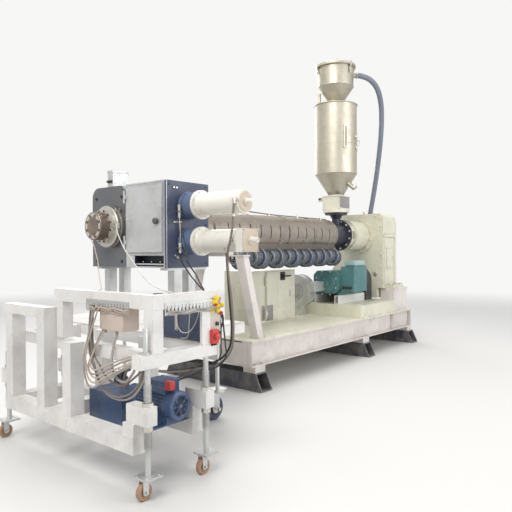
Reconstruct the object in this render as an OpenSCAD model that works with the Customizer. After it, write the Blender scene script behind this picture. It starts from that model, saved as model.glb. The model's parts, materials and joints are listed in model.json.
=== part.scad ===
/* [Base frame] */
// Length of the welded base along the barrel
base_length = 3850; // [3800:10:4000]
// How far the base runs ahead of the first cross tube's middle
base_front = 130; // [110:5:160]
// Width over the two side beams
base_width = 1250; // [1220:10:1300]
// Height of the cross tubes that stand on the floor
cross_tube_height = 180; // [160:5:190]
// Width of one cross tube
cross_tube_width = 180; // [150:5:210]
// Wall of a cross tube
cross_tube_wall = 12; // [8:1:16]
// How far a cross tube runs out past the beams at the floor
cross_tube_reach = 90; // [60:5:120]
// How far its cut end leans back on the way up
cross_tube_bevel = 80; // [40:5:80]
// Distance from the first cross tube to the middle one
cross_tube_mid = 2260; // [2200:10:2350]
// Distance of the last cross tube's middle from the base end
rear_tube_inset = 60; // [40:5:90]
// Height of the levelling pads between tube and beam
pad_height = 66; // [50:2:80]
// Side of a levelling pad
pad_size = 160; // [120:5:170]
// Depth of the side beams
beam_depth = 254; // [240:2:260]
// Flange width of the side beams
beam_flange = 130; // [110:2:150]
// Flange thickness of the side beams
beam_flange_wall = 14; // [10:1:18]
// Web thickness of the side beams
beam_web = 10; // [8:1:14]
// Width of a cross member
cross_member_width = 90; // [70:5:110]
// Thickness of the deck plate
deck_wall = 10; // [6:1:14]
// Length of deck that runs under the motor platform
platform_length = 1090; // [1060:10:1110]
// Height of the motor platform
platform_height = 166; // [150:2:175]
// How far the platform stands in from the base edge
platform_inset = 30; // [20:5:50]
// Wall of the platform's box
platform_wall = 14; // [8:1:20]

/* [Gearbox] */
// Length of the gearbox housing along the barrel
gearbox_length = 420; // [400:5:430]
// Width of the gearbox housing
gearbox_width = 850; // [800:10:880]
// Height of the gearbox top above the floor
gearbox_top = 1970; // [1930:10:2000]
// Width of the gearbox sump between the pedestals
sump_width = 640; // [600:10:660]
// Clear height of the sump over the deck
sump_clearance = 190; // [170:5:220]
// Bevel on the long edges of the housing
gearbox_bevel = 50; // [30:5:70]
// Thickness of the gearbox feet
foot_wall = 45; // [30:5:60]
// Length of a pedestal
pedestal_length = 470; // [440:5:475]
// Gap between the sump and a pedestal
sump_gap = 25; // [15:5:50]
// Height of a pedestal
pedestal_height = 340; // [320:5:350]
// How far a pedestal stands in from the base edge
pedestal_inset = 55; // [40:5:60]
// Thickness of the rear cover
rear_cover_depth = 130; // [90:5:135]
// Margin of the rear cover inside the housing outline
rear_cover_margin = 45; // [30:5:60]
// Diameter of the thrust housing drum
thrust_drum_d = 440; // [400:5:480]
// Diameter of the thrust housing's mounting flange
thrust_flange_d = 550; // [500:5:580]
// Length of the thrust housing
thrust_length = 420; // [380:5:430]
// Thickness of the thrust housing flanges
thrust_flange_wall = 40; // [30:2:50]
// Length of the lantern between thrust housing and feed throat
lantern_length = 150; // [130:5:170]
// Outer diameter of the lantern
lantern_d = 400; // [380:5:420]
// Wall of the lantern
lantern_wall = 28; // [20:2:36]
// Windows round the lantern
lantern_windows = 6; // [4:1:8]
// Width of one lantern window
lantern_window_w = 110; // [80:5:120]
// Diameter of the drive shaft that shows in the lantern
shaft_d = 120; // [90:5:140]

/* [Barrel line] */
// Height of the barrel axis over the floor
barrel_height = 1640; // [1620:5:1660]
// Outer diameter of the barrel
barrel_d = 220; // [200:5:230]
// Bore of the barrel
barrel_bore_d = 114; // [100:1:120]
// Where the barrel starts, ahead of the first cross tube
barrel_start = 850; // [840:5:860]
// How far ahead of the base's rear end the barrel meets the feed throat
barrel_end = 1490; // [1480:5:1510]
// Diameter of the barrel's head flange
barrel_flange_d = 360; // [330:5:380]
// Thickness of the barrel's head flange
barrel_flange_wall = 60; // [40:5:80]
// Outer diameter of the barrel shroud
shroud_d = 410; // [390:5:420]
// Wall of the barrel shroud
shroud_wall = 8; // [5:1:12]
// Length of the plain front section of the shroud
shroud_front_length = 560; // [480:10:600]
// Gap between the barrel's head flange and the shroud
shroud_front_gap = 20; // [10:2:40]
// Slots along the shroud
slot_count = 12; // [8:1:14]
// Width of one shroud slot
slot_w = 14; // [8:1:20]
// Arc of one shroud slot
slot_arc = 44; // [30:2:50]
// Half width of the air plenum under the shroud
plenum_half_width = 150; // [130:5:165]
// Bottom of the plenum below the barrel axis
plenum_drop = 208; // [206:1:212]
// Diameter of the feed throat body
throat_d = 330; // [300:5:350]
// Length of the feed throat
throat_length = 370; // [350:5:390]
// Height of the feed throat flange over the barrel axis
throat_top = 322; // [315:1:335]
// Diameter of the neck under the feed flange
feed_neck_d = 120; // [100:5:140]

/* [Blowers] */
// Blowers under the barrel
blower_count = 7; // [5:1:7]
// Distance from one blower to the next
blower_pitch = 320; // [315:1:325]
// Front of the first blower motor
blower_start = 160; // [158:1:165]
// Distance of the blower axes to the near side of the barrel
blower_side = 120; // [100:5:130]
// Height of the blower axes below the barrel axis
blower_drop = 295; // [290:1:300]
// Largest radius of a blower scroll
scroll_r = 170; // [160:1:178]
// Smallest radius of a blower scroll
scroll_r_small = 84; // [76:1:84]
// Width of a blower scroll
scroll_width = 90; // [70:2:100]
// Diameter of the scroll inlet
scroll_inlet_d = 130; // [120:2:150]
// Diameter of a blower motor
blower_motor_d = 170; // [150:2:174]
// Length of a blower motor
blower_motor_length = 105; // [90:5:110]

/* [Hopper] */
// Distance from the barrel end to the hopper axis
hopper_offset = 300; // [280:5:320]
// Diameter of the hopper
hopper_d = 600; // [560:5:640]
// Height of the hopper's straight shell
hopper_straight = 980; // [900:10:1060]
// Height of the hopper cone
hopper_cone = 315; // [290:5:340]
// Diameter at the hopper outlet
hopper_outlet_d = 200; // [170:5:220]
// Wall of the hopper
hopper_wall = 6; // [4:1:10]
// Thickness of the hopper lid
lid_wall = 8; // [5:1:12]
// Side of the square slide gate box
gate_box_size = 280; // [250:5:300]
// Height of the slide gate box
gate_box_height = 193; // [170:1:200]
// Diameter of the collar under the gate box
collar_d = 380; // [340:5:400]
// Height of the collar under the gate box
collar_height = 50; // [40:2:60]
// Diameter of the hopper loader
loader_d = 510; // [480:5:540]
// Height of the loader's straight shell
loader_straight = 290; // [260:5:320]
// Height of the loader cone
loader_cone = 262; // [240:2:290]
// Diameter at the loader outlet
loader_outlet_d = 150; // [130:5:170]
// Diameter of the loader rim
loader_rim_d = 570; // [560:5:590]
// Height of the domed loader lid
loader_dome = 70; // [60:5:90]
// Outer diameter of the material hose
hose_d = 80; // [76:1:84]
// Outer diameter of the spigots that hoses slip over
spigot_d = 63.5; // [60:0.5:70]
// Length of the material inlet spigot
spigot_length = 65; // [60:5:80]
// Distance of the conveying spigot behind the base's rear end
port_reach = 220; // [200:5:240]
// Distance of the conveying spigot from the barrel axis to the far side
port_side = 320; // [300:5:330]
// Height of the hose's lower end over the floor
port_height = 1000; // [960:5:1020]
// Length of the conveying spigot under the hose bracket
port_length = 100; // [80:5:120]
// Length of the vacuum spigot on the loader lid
vacuum_spigot_length = 60; // [50:5:80]

/* [Drive] */
// Distance of the motor's end from the platform start
motor_inset = 90; // [70:5:110]
// Length of the drive motor
motor_length = 700; // [660:5:720]
// Width of the drive motor
motor_width = 416; // [390:2:430]
// Height of the drive motor
motor_height = 340; // [320:2:350]
// Height of the motor rails
rail_height = 114; // [100:2:120]
// Width of one motor rail
rail_width = 64; // [50:2:76]
// Length of the motor rails
rail_length = 750; // [700:10:760]
// Length of the terminal box
terminal_length = 350; // [320:5:380]
// Depth of the terminal box
terminal_depth = 210; // [180:5:230]
// Height of the terminal box
terminal_height = 340; // [310:5:360]
// Length of the coupling guard
guard_length = 190; // [170:5:200]
// Radius of the coupling guard's arch
guard_r = 235; // [220:5:240]
// Diameter of the cooling blower's scroll beside the motor
cooler_d = 460; // [430:5:480]
// Width of the cooling blower's scroll
cooler_width = 160; // [130:5:170]

/* [Control cabinet] */
// Distance of the cabinet's near face past the barrel axis
cabinet_face = 150; // [145:5:160]
// How far ahead of the motor platform the cabinet starts
cabinet_start = 1380; // [1360:10:1400]
// Length of the cabinet
cabinet_length = 920; // [900:10:940]
// Depth of the cabinet
cabinet_depth = 440; // [400:10:450]
// Height of the cabinet
cabinet_height = 655; // [630:5:660]
// Wall of the cabinet
cabinet_wall = 12; // [8:1:16]
// Width of the fixed panel beside the door
fixed_panel_width = 270; // [250:5:290]
// Width of the cabinet door
cabinet_door_width = 540; // [520:5:560]
// Distance from the disconnect's pivot to the door's free edge
handle_inset = 192; // [170:1:210]
// Reach of the disconnect's lever from its pivot
handle_reach = 128; // [100:2:140]
// Thickness of the cabinet door
cabinet_door_wall = 20; // [16:1:24]

/* [Head] */
// Length of the screen changer along the barrel
head_length = 480; // [460:5:500]
// Top of the screen changer over the barrel axis
changer_top = 360; // [340:5:365]
// Bottom of the head below the barrel axis
head_drop = 360; // [345:5:365]
// Reach of the screen changer to the far side
changer_far = 300; // [280:5:310]
// Reach of the screen changer to the near side
changer_near = 205; // [200:5:215]
// Corner radius of the screen changer
changer_corner = 95; // [60:5:110]
// Width of the silver enclosure across the barrel
enclosure_width = 506; // [490:2:520]
// Top of the silver enclosure over the barrel axis
enclosure_top = 360; // [350:5:370]
// Wall of the silver enclosure
enclosure_wall = 12; // [8:1:16]
// Height of the enclosure's door
head_door_height = 570; // [550:5:590]
// Thickness of the enclosure's door
head_door_wall = 22; // [16:1:26]
// Thickness of the cylinder plate
cylinder_plate_wall = 24; // [20:1:30]
// Distance from the head's front face to the stand's front posts
stand_front = 100; // [80:5:140]
// Distance from the head's rear face to the stand's rear posts
stand_rear = 220; // [190:5:260]
// Distance between the two cylinders
cylinder_spacing = 300; // [290:2:310]
// Diameter of a cylinder body
cylinder_d = 182; // [170:2:190]
// Length of a cylinder body
cylinder_length = 455; // [430:5:480]
// Diameter of a cylinder's flange
cylinder_flange_d = 240; // [220:2:250]
// Thickness of a cylinder's flange
cylinder_flange_wall = 26; // [20:1:32]
// Diameter of a cylinder mount
cylinder_mount_d = 220; // [200:2:230]
// Length of a cylinder mount
cylinder_mount_length = 145; // [130:5:160]
// Diameter of the outlet drum
outlet_drum_d = 368; // [350:2:380]
// Length of the outlet drum
outlet_drum_length = 70; // [60:2:90]
// Diameter of the outlet ring
outlet_ring_d = 300; // [280:2:310]
// Length of the outlet ring
outlet_ring_length = 40; // [30:2:50]
// Diameter of the outlet flange
outlet_flange_d = 240; // [220:2:250]
// Length of the outlet flange
outlet_flange_length = 90; // [70:2:100]
// Bore of the outlet
outlet_bore_d = 60; // [50:1:70]
// Bolt circle of the outlet flange
outlet_bolt_circle = 190; // [180:2:196]
// Bolt holes of the outlet flange
outlet_bolt_count = 8; // [6:1:10]
// Diameter of one bolt hole
outlet_bolt_d = 16; // [12:1:20]

/* [Cart] */
// Tube of the cart's lower frame
lower_tube = 100; // [80:2:104]
// Bottom of the cart's lower frame over the floor
lower_frame_z = 240; // [230:5:290]
// Tube of the cart's upper frame
upper_tube = 80; // [70:2:90]
// Bottom of the cart's upper frame over the floor
upper_frame_z = 740; // [730:5:760]
// Front of the cart, ahead of the first cross tube
cart_front = 2300; // [2290:5:2310]
// Distance between the two long rails of the lower frame
rail_spacing = 470; // [450:5:520]
// Near end of the lower frame's long rails
cart_near = 1550; // [1540:5:1560]
// Distance of the jack screws past the lower frame's ends
jack_reach = 70; // [60:2:80]
// Diameter of a jack screw
jack_d = 34; // [30:1:38]
// Width of an outrigger block
outrigger_width = 76; // [70:2:96]
// Length of an outrigger block
outrigger_length = 190; // [180:5:200]
// Height of an outrigger block
outrigger_height = 110; // [90:5:120]
// Top of an outrigger block over the floor
outrigger_top = 530; // [510:5:540]
// Tube of the cart's top rails
top_tube = 85; // [70:1:90]
// Top of the near rails of the cart
top_rail_z = 1160; // [1145:5:1170]
// Thickness of the cart's shelf plate
shelf_wall = 10; // [6:1:14]
// Near edge of the rear half of the cart
rear_near = 1150; // [1140:5:1160]
// Far edge of the rear half of the cart
rear_far = 450; // [430:5:460]
// Near face of the second row's middle post
cart_mid_near = 1100; // [1080:5:1120]
// Near face of the front row's middle post
cart_front_mid = 900; // [880:5:1120]
// Rear end of the cart, ahead of the first cross tube
cart_rear = 890; // [880:5:900]
// Side of a post under the head
stand_post = 80; // [70:2:90]
// Distance of the oil tank from the second long rail
tank_gap = 30; // [15:5:60]
// Length of the oil tank along the barrel
tank_length = 90; // [80:5:120]
// Width of the oil tank across the barrel
tank_width = 550; // [500:5:580]
// Height of the oil tank with its lid
tank_height = 235; // [200:5:240]
// Thickness of the oil tank's lid
tank_lid = 12; // [8:1:16]

/* [Casters] */
// Wheel diameter of a small caster
small_wheel_d = 100; // [90:1:104]
// Wheel width of a small caster
small_wheel_w = 32; // [28:1:36]
// Distance of a small wheel's axle from its swivel
small_trail = 32; // [26:1:36]
// Wheel diameter of a large caster
large_wheel_d = 200; // [180:2:204]
// Wheel width of a large caster
large_wheel_w = 46; // [40:1:50]
// Distance of a large wheel's axle from its swivel
large_trail = 50; // [40:1:56]
// Radial clearance of the kingpins and axles
pin_clearance = 0.1; // [0.05:0.01:0.1]

/* [Hidden] */
round_fn = 64;
frame_color = [0.93, 0.90, 0.87];
cream = [0.90, 0.88, 0.78];
steel = [0.62, 0.60, 0.56];
galvanised = [0.72, 0.73, 0.72];
dark = [0.12, 0.13, 0.16];
slate = [0.20, 0.24, 0.33];
teal = [0.31, 0.52, 0.52];
blue = [0.16, 0.27, 0.42];
white = [0.95, 0.94, 0.92];

// Running gap between parts that turn on each other
turn_gap = 0.3;
// Small lap that makes fused shapes one solid
lap = 1;

base_x0 = -base_front;
base_x1 = base_length - base_front;
beam_z0 = cross_tube_height + pad_height;
beam_z1 = beam_z0 + beam_depth;
deck_z = beam_z1 + deck_wall;
beam_y = base_width / 2 - beam_flange / 2;
cross_tube_x = [0, cross_tube_mid, base_x1 - rear_tube_inset];
pedestal_x1 = base_x1;
pedestal_x0 = pedestal_x1 - pedestal_length;
platform_x1 = pedestal_x0;
platform_x0 = platform_x1 - platform_length;
platform_z = deck_z + platform_height;
pedestal_width = base_width / 2 - pedestal_inset - sump_width / 2 - sump_gap;
pedestal_y = base_width / 2 - pedestal_inset - pedestal_width / 2;
pedestal_z = deck_z + pedestal_height;

throat_x0 = base_x1 - barrel_end;
throat_x1 = throat_x0 + throat_length;
lantern_x1 = throat_x1 + lantern_length;
thrust_x1 = lantern_x1 + thrust_length;
gearbox_x0 = thrust_x1;
gearbox_x1 = gearbox_x0 + gearbox_length;
hopper_x = throat_x0 + hopper_offset;
throat_flange_z = barrel_height + throat_top;
gate_z = throat_flange_z + collar_height;
hopper_z = gate_z + gate_box_height;
hopper_shell_z = hopper_z + hopper_cone;
hopper_top_z = hopper_shell_z + hopper_straight;
loader_z = hopper_top_z + lid_wall;
loader_shell_z = loader_z + loader_cone;
loader_top_z = loader_shell_z + loader_straight;

motor_x0 = platform_x0 + motor_inset;
motor_x1 = motor_x0 + motor_length;
motor_z = platform_z + rail_height;
motor_axis_z = motor_z + motor_height / 2;
rail_y = motor_width / 2 - rail_width / 4;
guard_x1 = gearbox_x0;
guard_x0 = guard_x1 - guard_length;

head_x1 = -barrel_start;
head_x0 = head_x1 - head_length;
head_z = barrel_height - head_drop;
enclosure_y1 = -changer_near;
enclosure_y0 = enclosure_y1 - enclosure_width;
plate_y0 = enclosure_y0 - cylinder_plate_wall;
mount_y0 = plate_y0 - cylinder_mount_length;
cylinder_x = head_x0 + head_length / 2;

rail_x = [-cart_front + lower_tube / 2, -cart_front + lower_tube / 2 + rail_spacing];
jack_y = [-cart_near - jack_reach, jack_reach - 25];
upper_z1 = upper_frame_z + upper_tube;
shelf_z = upper_z1 + shelf_wall;

// A block between two corners
module block(low, high) {
    translate(low) cube([high[0] - low[0], high[1] - low[1], high[2] - low[2]]);
}

// A rod along X from a start point
module rod_x(start, length, d) {
    translate(start) rotate([0, 90, 0]) cylinder(h = length, d = d, $fn = round_fn);
}

// A rod along Y from a start point
module rod_y(start, length, d) {
    translate(start) rotate([-90, 0, 0]) cylinder(h = length, d = d, $fn = round_fn);
}

// A rod along Z from a start point
module rod_z(start, length, d) {
    translate(start) cylinder(h = length, d = d, $fn = round_fn);
}

// A turned shape about the barrel axis from pairs of distance and radius
module turned_x(profile) {
    translate([0, 0, barrel_height]) rotate([0, 90, 0])
        rotate_extrude($fn = round_fn) polygon([for (p = profile) [p[1], p[0]]]);
}

// A flat outline given in Y and Z, made solid from one X to another
module slab_x(outline, x0, x1) {
    translate([x0, 0, 0]) rotate([90, 0, 90]) linear_extrude(height = x1 - x0) polygon(outline);
}

// Copies of the children on both sides of the barrel
module both_sides() {
    children();
    mirror([0, 1, 0]) children();
}

// Base frame

module cross_tubes() {
    half_foot = base_width / 2 + cross_tube_reach;
    half_top = half_foot - cross_tube_bevel;
    wall = cross_tube_wall;
    color(dark) for (x = cross_tube_x) {
        intersection() {
            difference() {
                block([x - cross_tube_width / 2, -half_foot, 0],
                    [x + cross_tube_width / 2, half_foot, cross_tube_height]);
                block([x - cross_tube_width / 2 + wall, -half_foot - lap, wall],
                    [x + cross_tube_width / 2 - wall, half_foot + lap, cross_tube_height - wall]);
            }
            slab_x([[-half_foot, 0], [half_foot, 0], [half_top, cross_tube_height],
                [-half_top, cross_tube_height]], x - cross_tube_width, x + cross_tube_width);
        }
    }
}

module levelling_pads() {
    y = base_width / 2 - pad_size / 2;
    color(white) both_sides() for (x = cross_tube_x)
        block([x - pad_size / 2, y - pad_size / 2, cross_tube_height],
            [min(x + pad_size / 2, base_x1), y + pad_size / 2, beam_z0]);
}

module side_beams() {
    f = beam_flange / 2;
    w = beam_web / 2;
    t = beam_flange_wall;
    color(frame_color) both_sides()
        slab_x([[beam_y - f, beam_z0], [beam_y + f, beam_z0], [beam_y + f, beam_z0 + t],
            [beam_y + w, beam_z0 + t], [beam_y + w, beam_z1 - t], [beam_y + f, beam_z1 - t],
            [beam_y + f, beam_z1], [beam_y - f, beam_z1], [beam_y - f, beam_z1 - t],
            [beam_y - w, beam_z1 - t], [beam_y - w, beam_z0 + t], [beam_y - f, beam_z0 + t]],
            base_x0, base_x1);
}

module cross_member(x, side) {
    reach = beam_y - beam_web / 2;
    z0 = beam_z0 + beam_flange_wall;
    z1 = beam_z1 - beam_flange_wall;
    t = beam_flange_wall;
    far = x + side * cross_member_width;
    difference() {
        block([min(x, far), -reach, z0], [max(x, far), reach, z1]);
        block([min(x + side * t, far + side * lap), -reach - lap, z0 + t],
            [max(x + side * t, far + side * lap), reach + lap, z1 - t]);
    }
}

module cross_members() {
    color(frame_color) {
        cross_member(base_x0, 1);
        cross_member(base_x0 + base_length / 3, 1);
        cross_member(platform_x0, 1);
        cross_member(base_x1, -1);
    }
}

module deck_plate() {
    color(cream) block([base_x0, -base_width / 2, beam_z1], [base_x1, base_width / 2, deck_z]);
}

module drive_platform() {
    y = base_width / 2 - platform_inset;
    t = platform_wall;
    color(cream) difference() {
        block([platform_x0, -y, deck_z], [platform_x1, y, platform_z]);
        block([platform_x0 + t, -y + t, deck_z - lap], [platform_x1 - t, y - t, platform_z - t]);
    }
}

// Gearbox

module gearbox_pedestals() {
    inner = pedestal_y - pedestal_width / 2;
    outer = pedestal_y + pedestal_width / 2;
    cap = 20;
    jack_block = 60;
    color(frame_color) {
        both_sides() {
            block([pedestal_x0, inner, deck_z],
                [pedestal_x1 - cap / 2, inner + pedestal_width - cap / 2, pedestal_z - cap]);
            block([pedestal_x0, inner, pedestal_z - cap],
                [pedestal_x1, inner + pedestal_width, pedestal_z]);
            block([gearbox_x1 + cap, outer - 2 * jack_block, pedestal_z - lap],
                [gearbox_x1 + cap + jack_block, outer - jack_block, pedestal_z + jack_block]);
        }
    }
}

// Outline of the gearbox in Y and Z, drawn in by a margin
function gearbox_outline(m) = let (
    half = gearbox_width / 2 - m,
    sump = sump_width / 2 - m,
    bevel = gearbox_bevel,
    top = gearbox_top - m,
    bottom = deck_z + sump_clearance + m,
    shoulder = pedestal_z + m)
    [[-sump, bottom], [sump, bottom], [sump, shoulder], [half, shoulder], [half, top - bevel],
        [half - bevel, top], [bevel - half, top], [-half, top - bevel], [-half, shoulder],
        [-sump, shoulder]];

module gearbox_housing() {
    joint_lip = 18;
    joint_z = barrel_height;
    foot_y = pedestal_y + pedestal_width / 2 - joint_lip;
    half = gearbox_width / 2;
    color(cream) {
        difference() {
            slab_x(gearbox_outline(0), gearbox_x0, gearbox_x1);
            rod_x([gearbox_x0 - lap, 0, barrel_height], gearbox_length / 2, shaft_d + joint_lip);
        }
        block([gearbox_x0 + lap, -half - joint_lip, joint_z - joint_lip],
            [gearbox_x1 - lap, -half + lap, joint_z + joint_lip]);
        block([gearbox_x0 + lap, half - lap, joint_z - joint_lip],
            [gearbox_x1 - lap, half + joint_lip, joint_z + joint_lip]);
        both_sides() block([pedestal_x0, half - gearbox_bevel, pedestal_z],
            [gearbox_x1, foot_y, pedestal_z + foot_wall]);
    }
}

module gearbox_cover() {
    flange = 24;
    color(cream) {
        slab_x(gearbox_outline(rear_cover_margin / 2), gearbox_x1, gearbox_x1 + flange);
        slab_x([for (p = gearbox_outline(rear_cover_margin))
            [p[0], max(p[1], pedestal_z + rear_cover_margin)]],
            gearbox_x1, gearbox_x1 + rear_cover_depth);
    }
}

module thrust_housing() {
    t = thrust_flange_wall;
    front_d = lantern_d + 2 * lantern_wall;
    drum = thrust_drum_d / 2;
    color(cream) {
        turned_x([[lantern_x1, 0], [lantern_x1, front_d / 2], [lantern_x1 + t, front_d / 2],
            [lantern_x1 + t + (drum - front_d / 2), drum], [thrust_x1 - t, drum],
            [thrust_x1 - t, thrust_flange_d / 2], [thrust_x1, thrust_flange_d / 2],
            [thrust_x1, 0]]);
        rod_x([throat_x1, 0, barrel_height], lantern_length + lap, shaft_d);
    }
}

module lantern() {
    ring = 18;
    ring_d = lantern_d + 2 * lantern_wall;
    inner_d = lantern_d - 2 * lantern_wall;
    color([0.72, 0.74, 0.66]) difference() {
        union() {
            rod_x([throat_x1, 0, barrel_height], lantern_length, lantern_d);
            rod_x([throat_x1, 0, barrel_height], ring, ring_d);
            rod_x([lantern_x1 - ring, 0, barrel_height], ring, ring_d);
        }
        rod_x([throat_x1 - lap, 0, barrel_height], lantern_length + 2 * lap, inner_d);
        translate([0, 0, barrel_height]) for (i = [0 : lantern_windows - 1])
            rotate([360 * (i + 0.5) / lantern_windows, 0, 0])
                block([throat_x1 + ring + lantern_wall / 2, -lantern_window_w / 2, 0],
                    [lantern_x1 - ring - lantern_wall / 2, lantern_window_w / 2, lantern_d]);
    }
}

// Feed throat, hopper and loader

module feed_throat() {
    face_d = shroud_d - 40;
    rear_d = lantern_d + 2 * lantern_wall;
    throat_gap = 4;
    plate = 30;
    color(dark) difference() {
        union() {
            rod_x([throat_x0, 0, barrel_height], plate, face_d);
            rod_x([throat_x0, 0, barrel_height], throat_length, throat_d);
            rod_x([throat_x1 - plate, 0, barrel_height], plate, rear_d);
            rod_z([hopper_x, 0, barrel_height], throat_top, feed_neck_d);
            translate([hopper_x, 0, barrel_height + rear_d / 2 + throat_gap])
                cylinder(h = throat_top - rear_d / 2 - throat_gap, d1 = feed_neck_d,
                    d2 = feed_neck_d + 110, $fn = round_fn);
            rod_z([hopper_x, 0, throat_flange_z - plate], plate, collar_d - 60);
        }
        rod_x([throat_x0 - lap, 0, barrel_height], throat_length + 2 * lap, barrel_bore_d);
    }
}

module slide_gate() {
    half = gate_box_size / 2;
    knob_reach = 150;
    knob_d = 50;
    rod_d = 14;
    rod_height = gate_z + gate_box_height * 0.8;
    color(white) {
        rod_z([hopper_x, 0, throat_flange_z], collar_height + lap, collar_d);
        block([hopper_x - half, -half, gate_z], [hopper_x + half, half, hopper_z]);
        rod_y([hopper_x, half - lap, rod_height], knob_reach, rod_d);
        rod_y([hopper_x, half + knob_reach - knob_d, rod_height], knob_d, knob_d);
    }
}

// A hopper shell: a cone under a straight shell, open at both ends
module hopper_shell(z, cone, straight, d, outlet_d, wall) {
    translate([hopper_x, 0, z]) rotate_extrude($fn = round_fn)
        polygon([[outlet_d / 2, 0], [d / 2, cone], [d / 2, cone + straight],
            [d / 2 - wall, cone + straight], [d / 2 - wall, cone], [outlet_d / 2 - wall, 0]]);
}

module hopper() {
    flange = 14;
    drain_d = 60;
    drain_height = hopper_cone * 0.55;
    drain_y = -hopper_outlet_d / 2 - (hopper_d - hopper_outlet_d) / 2 * 0.5;
    color(steel) difference() {
        union() {
            hopper_shell(hopper_z, hopper_cone, hopper_straight, hopper_d, hopper_outlet_d,
                hopper_wall);
            difference() {
                rod_z([hopper_x, 0, hopper_z], flange, hopper_outlet_d + 50);
                rod_z([hopper_x, 0, hopper_z - lap], flange + 2 * lap,
                    hopper_outlet_d - 2 * hopper_wall);
            }
            translate([hopper_x, drain_y, hopper_z + drain_height]) rotate([130, 0, 0])
                cylinder(h = 130, d = drain_d, $fn = round_fn);
        }
        translate([hopper_x, 0, hopper_z]) cylinder(h = hopper_cone,
            d1 = hopper_outlet_d - 2 * hopper_wall, d2 = hopper_d - 2 * hopper_wall,
            $fn = round_fn);
    }
}

module hopper_lid() {
    vent_d = 46;
    vent_reach = 240;
    vent_height = 180;
    color(steel) {
        rod_z([hopper_x, 0, hopper_top_z], lid_wall, hopper_d + 12);
        rotate_about(hopper_x, 0, 130)
            rod_z([hopper_x + vent_reach, 0, hopper_top_z + lid_wall - lap], vent_height, vent_d);
    }
}

// Turns the children about an upright line
module rotate_about(x, y, angle) {
    translate([x, y, 0]) rotate([0, 0, angle]) translate([-x, -y, 0]) children();
}

module hopper_loader() {
    rim = 16;
    color(steel) {
        difference() {
            union() {
                hopper_shell(loader_z, loader_cone, loader_straight, loader_d, loader_outlet_d,
                    hopper_wall);
                rotate_about(hopper_x, 0, inlet_angle)
                    rod_x([hopper_x + loader_d / 2 - hopper_wall * 0.6, 0, inlet_z],
                        spigot_length + hopper_wall * 0.6, spigot_d);
                difference() {
                    rod_z([hopper_x, 0, loader_top_z - rim], rim, loader_rim_d);
                    rod_z([hopper_x, 0, loader_top_z - rim - lap], rim + 2 * lap,
                        loader_d - 2 * hopper_wall);
                }
            }
            rotate_about(hopper_x, 0, inlet_angle)
                rod_x([hopper_x + loader_d / 2 - 3 * hopper_wall, 0, inlet_z],
                    spigot_length + 4 * hopper_wall, spigot_d - 8);
        }
    }
}

module loader_lid() {
    rim = 16;
    r = loader_rim_d / 2;
    boss_d = spigot_d + 30;
    color(steel) {
        translate([hopper_x, 0, loader_top_z]) rotate_extrude($fn = round_fn)
            polygon(concat([[0, 0], [r, 0], [r, rim]],
                [for (a = [0 : 10 : 80])
                    [(r - 20) * cos(a), rim + (loader_dome - rim) * sin(a)]],
                [[0, loader_dome]]));
        rod_z([hopper_x, 0, loader_top_z + loader_dome - rim], rim + lap, boss_d);
        rod_z([hopper_x, 0, loader_top_z + loader_dome], vacuum_spigot_length + lap, spigot_d);
    }
}

inlet_angle = -50;
hose_stub = 25;
inlet_z = loader_top_z - 110;
inlet_dir = [cos(inlet_angle), sin(inlet_angle), 0];
inlet_tip = [hopper_x, 0, inlet_z] + (loader_d / 2 + spigot_length) * inlet_dir;
port_tip = [base_x1 + port_reach, port_side, port_height];
hose_points = [[2790, -298, 3941], [2839, -337, 3924], [2902, -373, 3892], [2973, -398, 3842],
    [3046, -408, 3774], [3125, -402, 3685], [3213, -379, 3565], [3311, -335, 3409],
    [3415, -273, 3214], [3536, -184, 2953], [3656, -78, 2643], [3756, 30, 2325],
    [3835, 135, 2001], [3893, 228, 1668], [3925, 289, 1376], [3939, 317, 1119]];

// A point on the smooth curve through four neighbours
function curve_point(p0, p1, p2, p3, t) =
    0.5 * (2 * p1 + (p2 - p0) * t + (2 * p0 - 5 * p1 + 4 * p2 - p3) * t * t
        + (3 * p1 - p0 - 3 * p2 + p3) * t * t * t);

// The route made smooth with a number of steps between its points
function smooth(route, steps) = let (last = len(route) - 1) concat(
    [for (i = [0 : last - 1]) for (k = [0 : steps - 1])
        curve_point(route[max(i - 1, 0)], route[i], route[i + 1], route[min(i + 2, last)],
            k / steps)], [route[last]]);

function unit(v) = v / norm(v);

// One ring of a hose about a point of its route
function hose_ring(route, i, d, sides, across) = let (
    last = len(route) - 1,
    along = unit(route[min(i + 1, last)] - route[max(i - 1, 0)]),
    side = unit(cross(along, across)),
    up = cross(side, along))
    [for (k = [0 : sides - 1]) route[i] + d / 2 * (cos(360 * k / sides) * side
        + sin(360 * k / sides) * up)];

// A round hose swept along a route
module hose(route, d, sides, across) {
    rings = len(route);
    points = [for (i = [0 : rings - 1]) each hose_ring(route, i, d, sides, across)];
    start_cap = [[for (k = [0 : sides - 1]) k]];
    end_cap = [[for (k = [sides - 1 : -1 : 0]) (rings - 1) * sides + k]];
    walls = [for (i = [0 : rings - 2]) for (k = [0 : sides - 1])
        [i * sides + k, (i + 1) * sides + k, (i + 1) * sides + (k + 1) % sides,
            i * sides + (k + 1) % sides]];
    polyhedron(points = points, faces = concat(start_cap, walls, end_cap));
}

module loader_hose() {
    color([0.40, 0.42, 0.46])
        hose(concat([inlet_tip], smooth(concat([inlet_tip + hose_stub * inlet_dir],
            hose_points, [port_tip + [0, 0, hose_stub]]), 2), [port_tip]), hose_d, 12,
            [0.7, 0.7, 0]);
}

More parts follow.
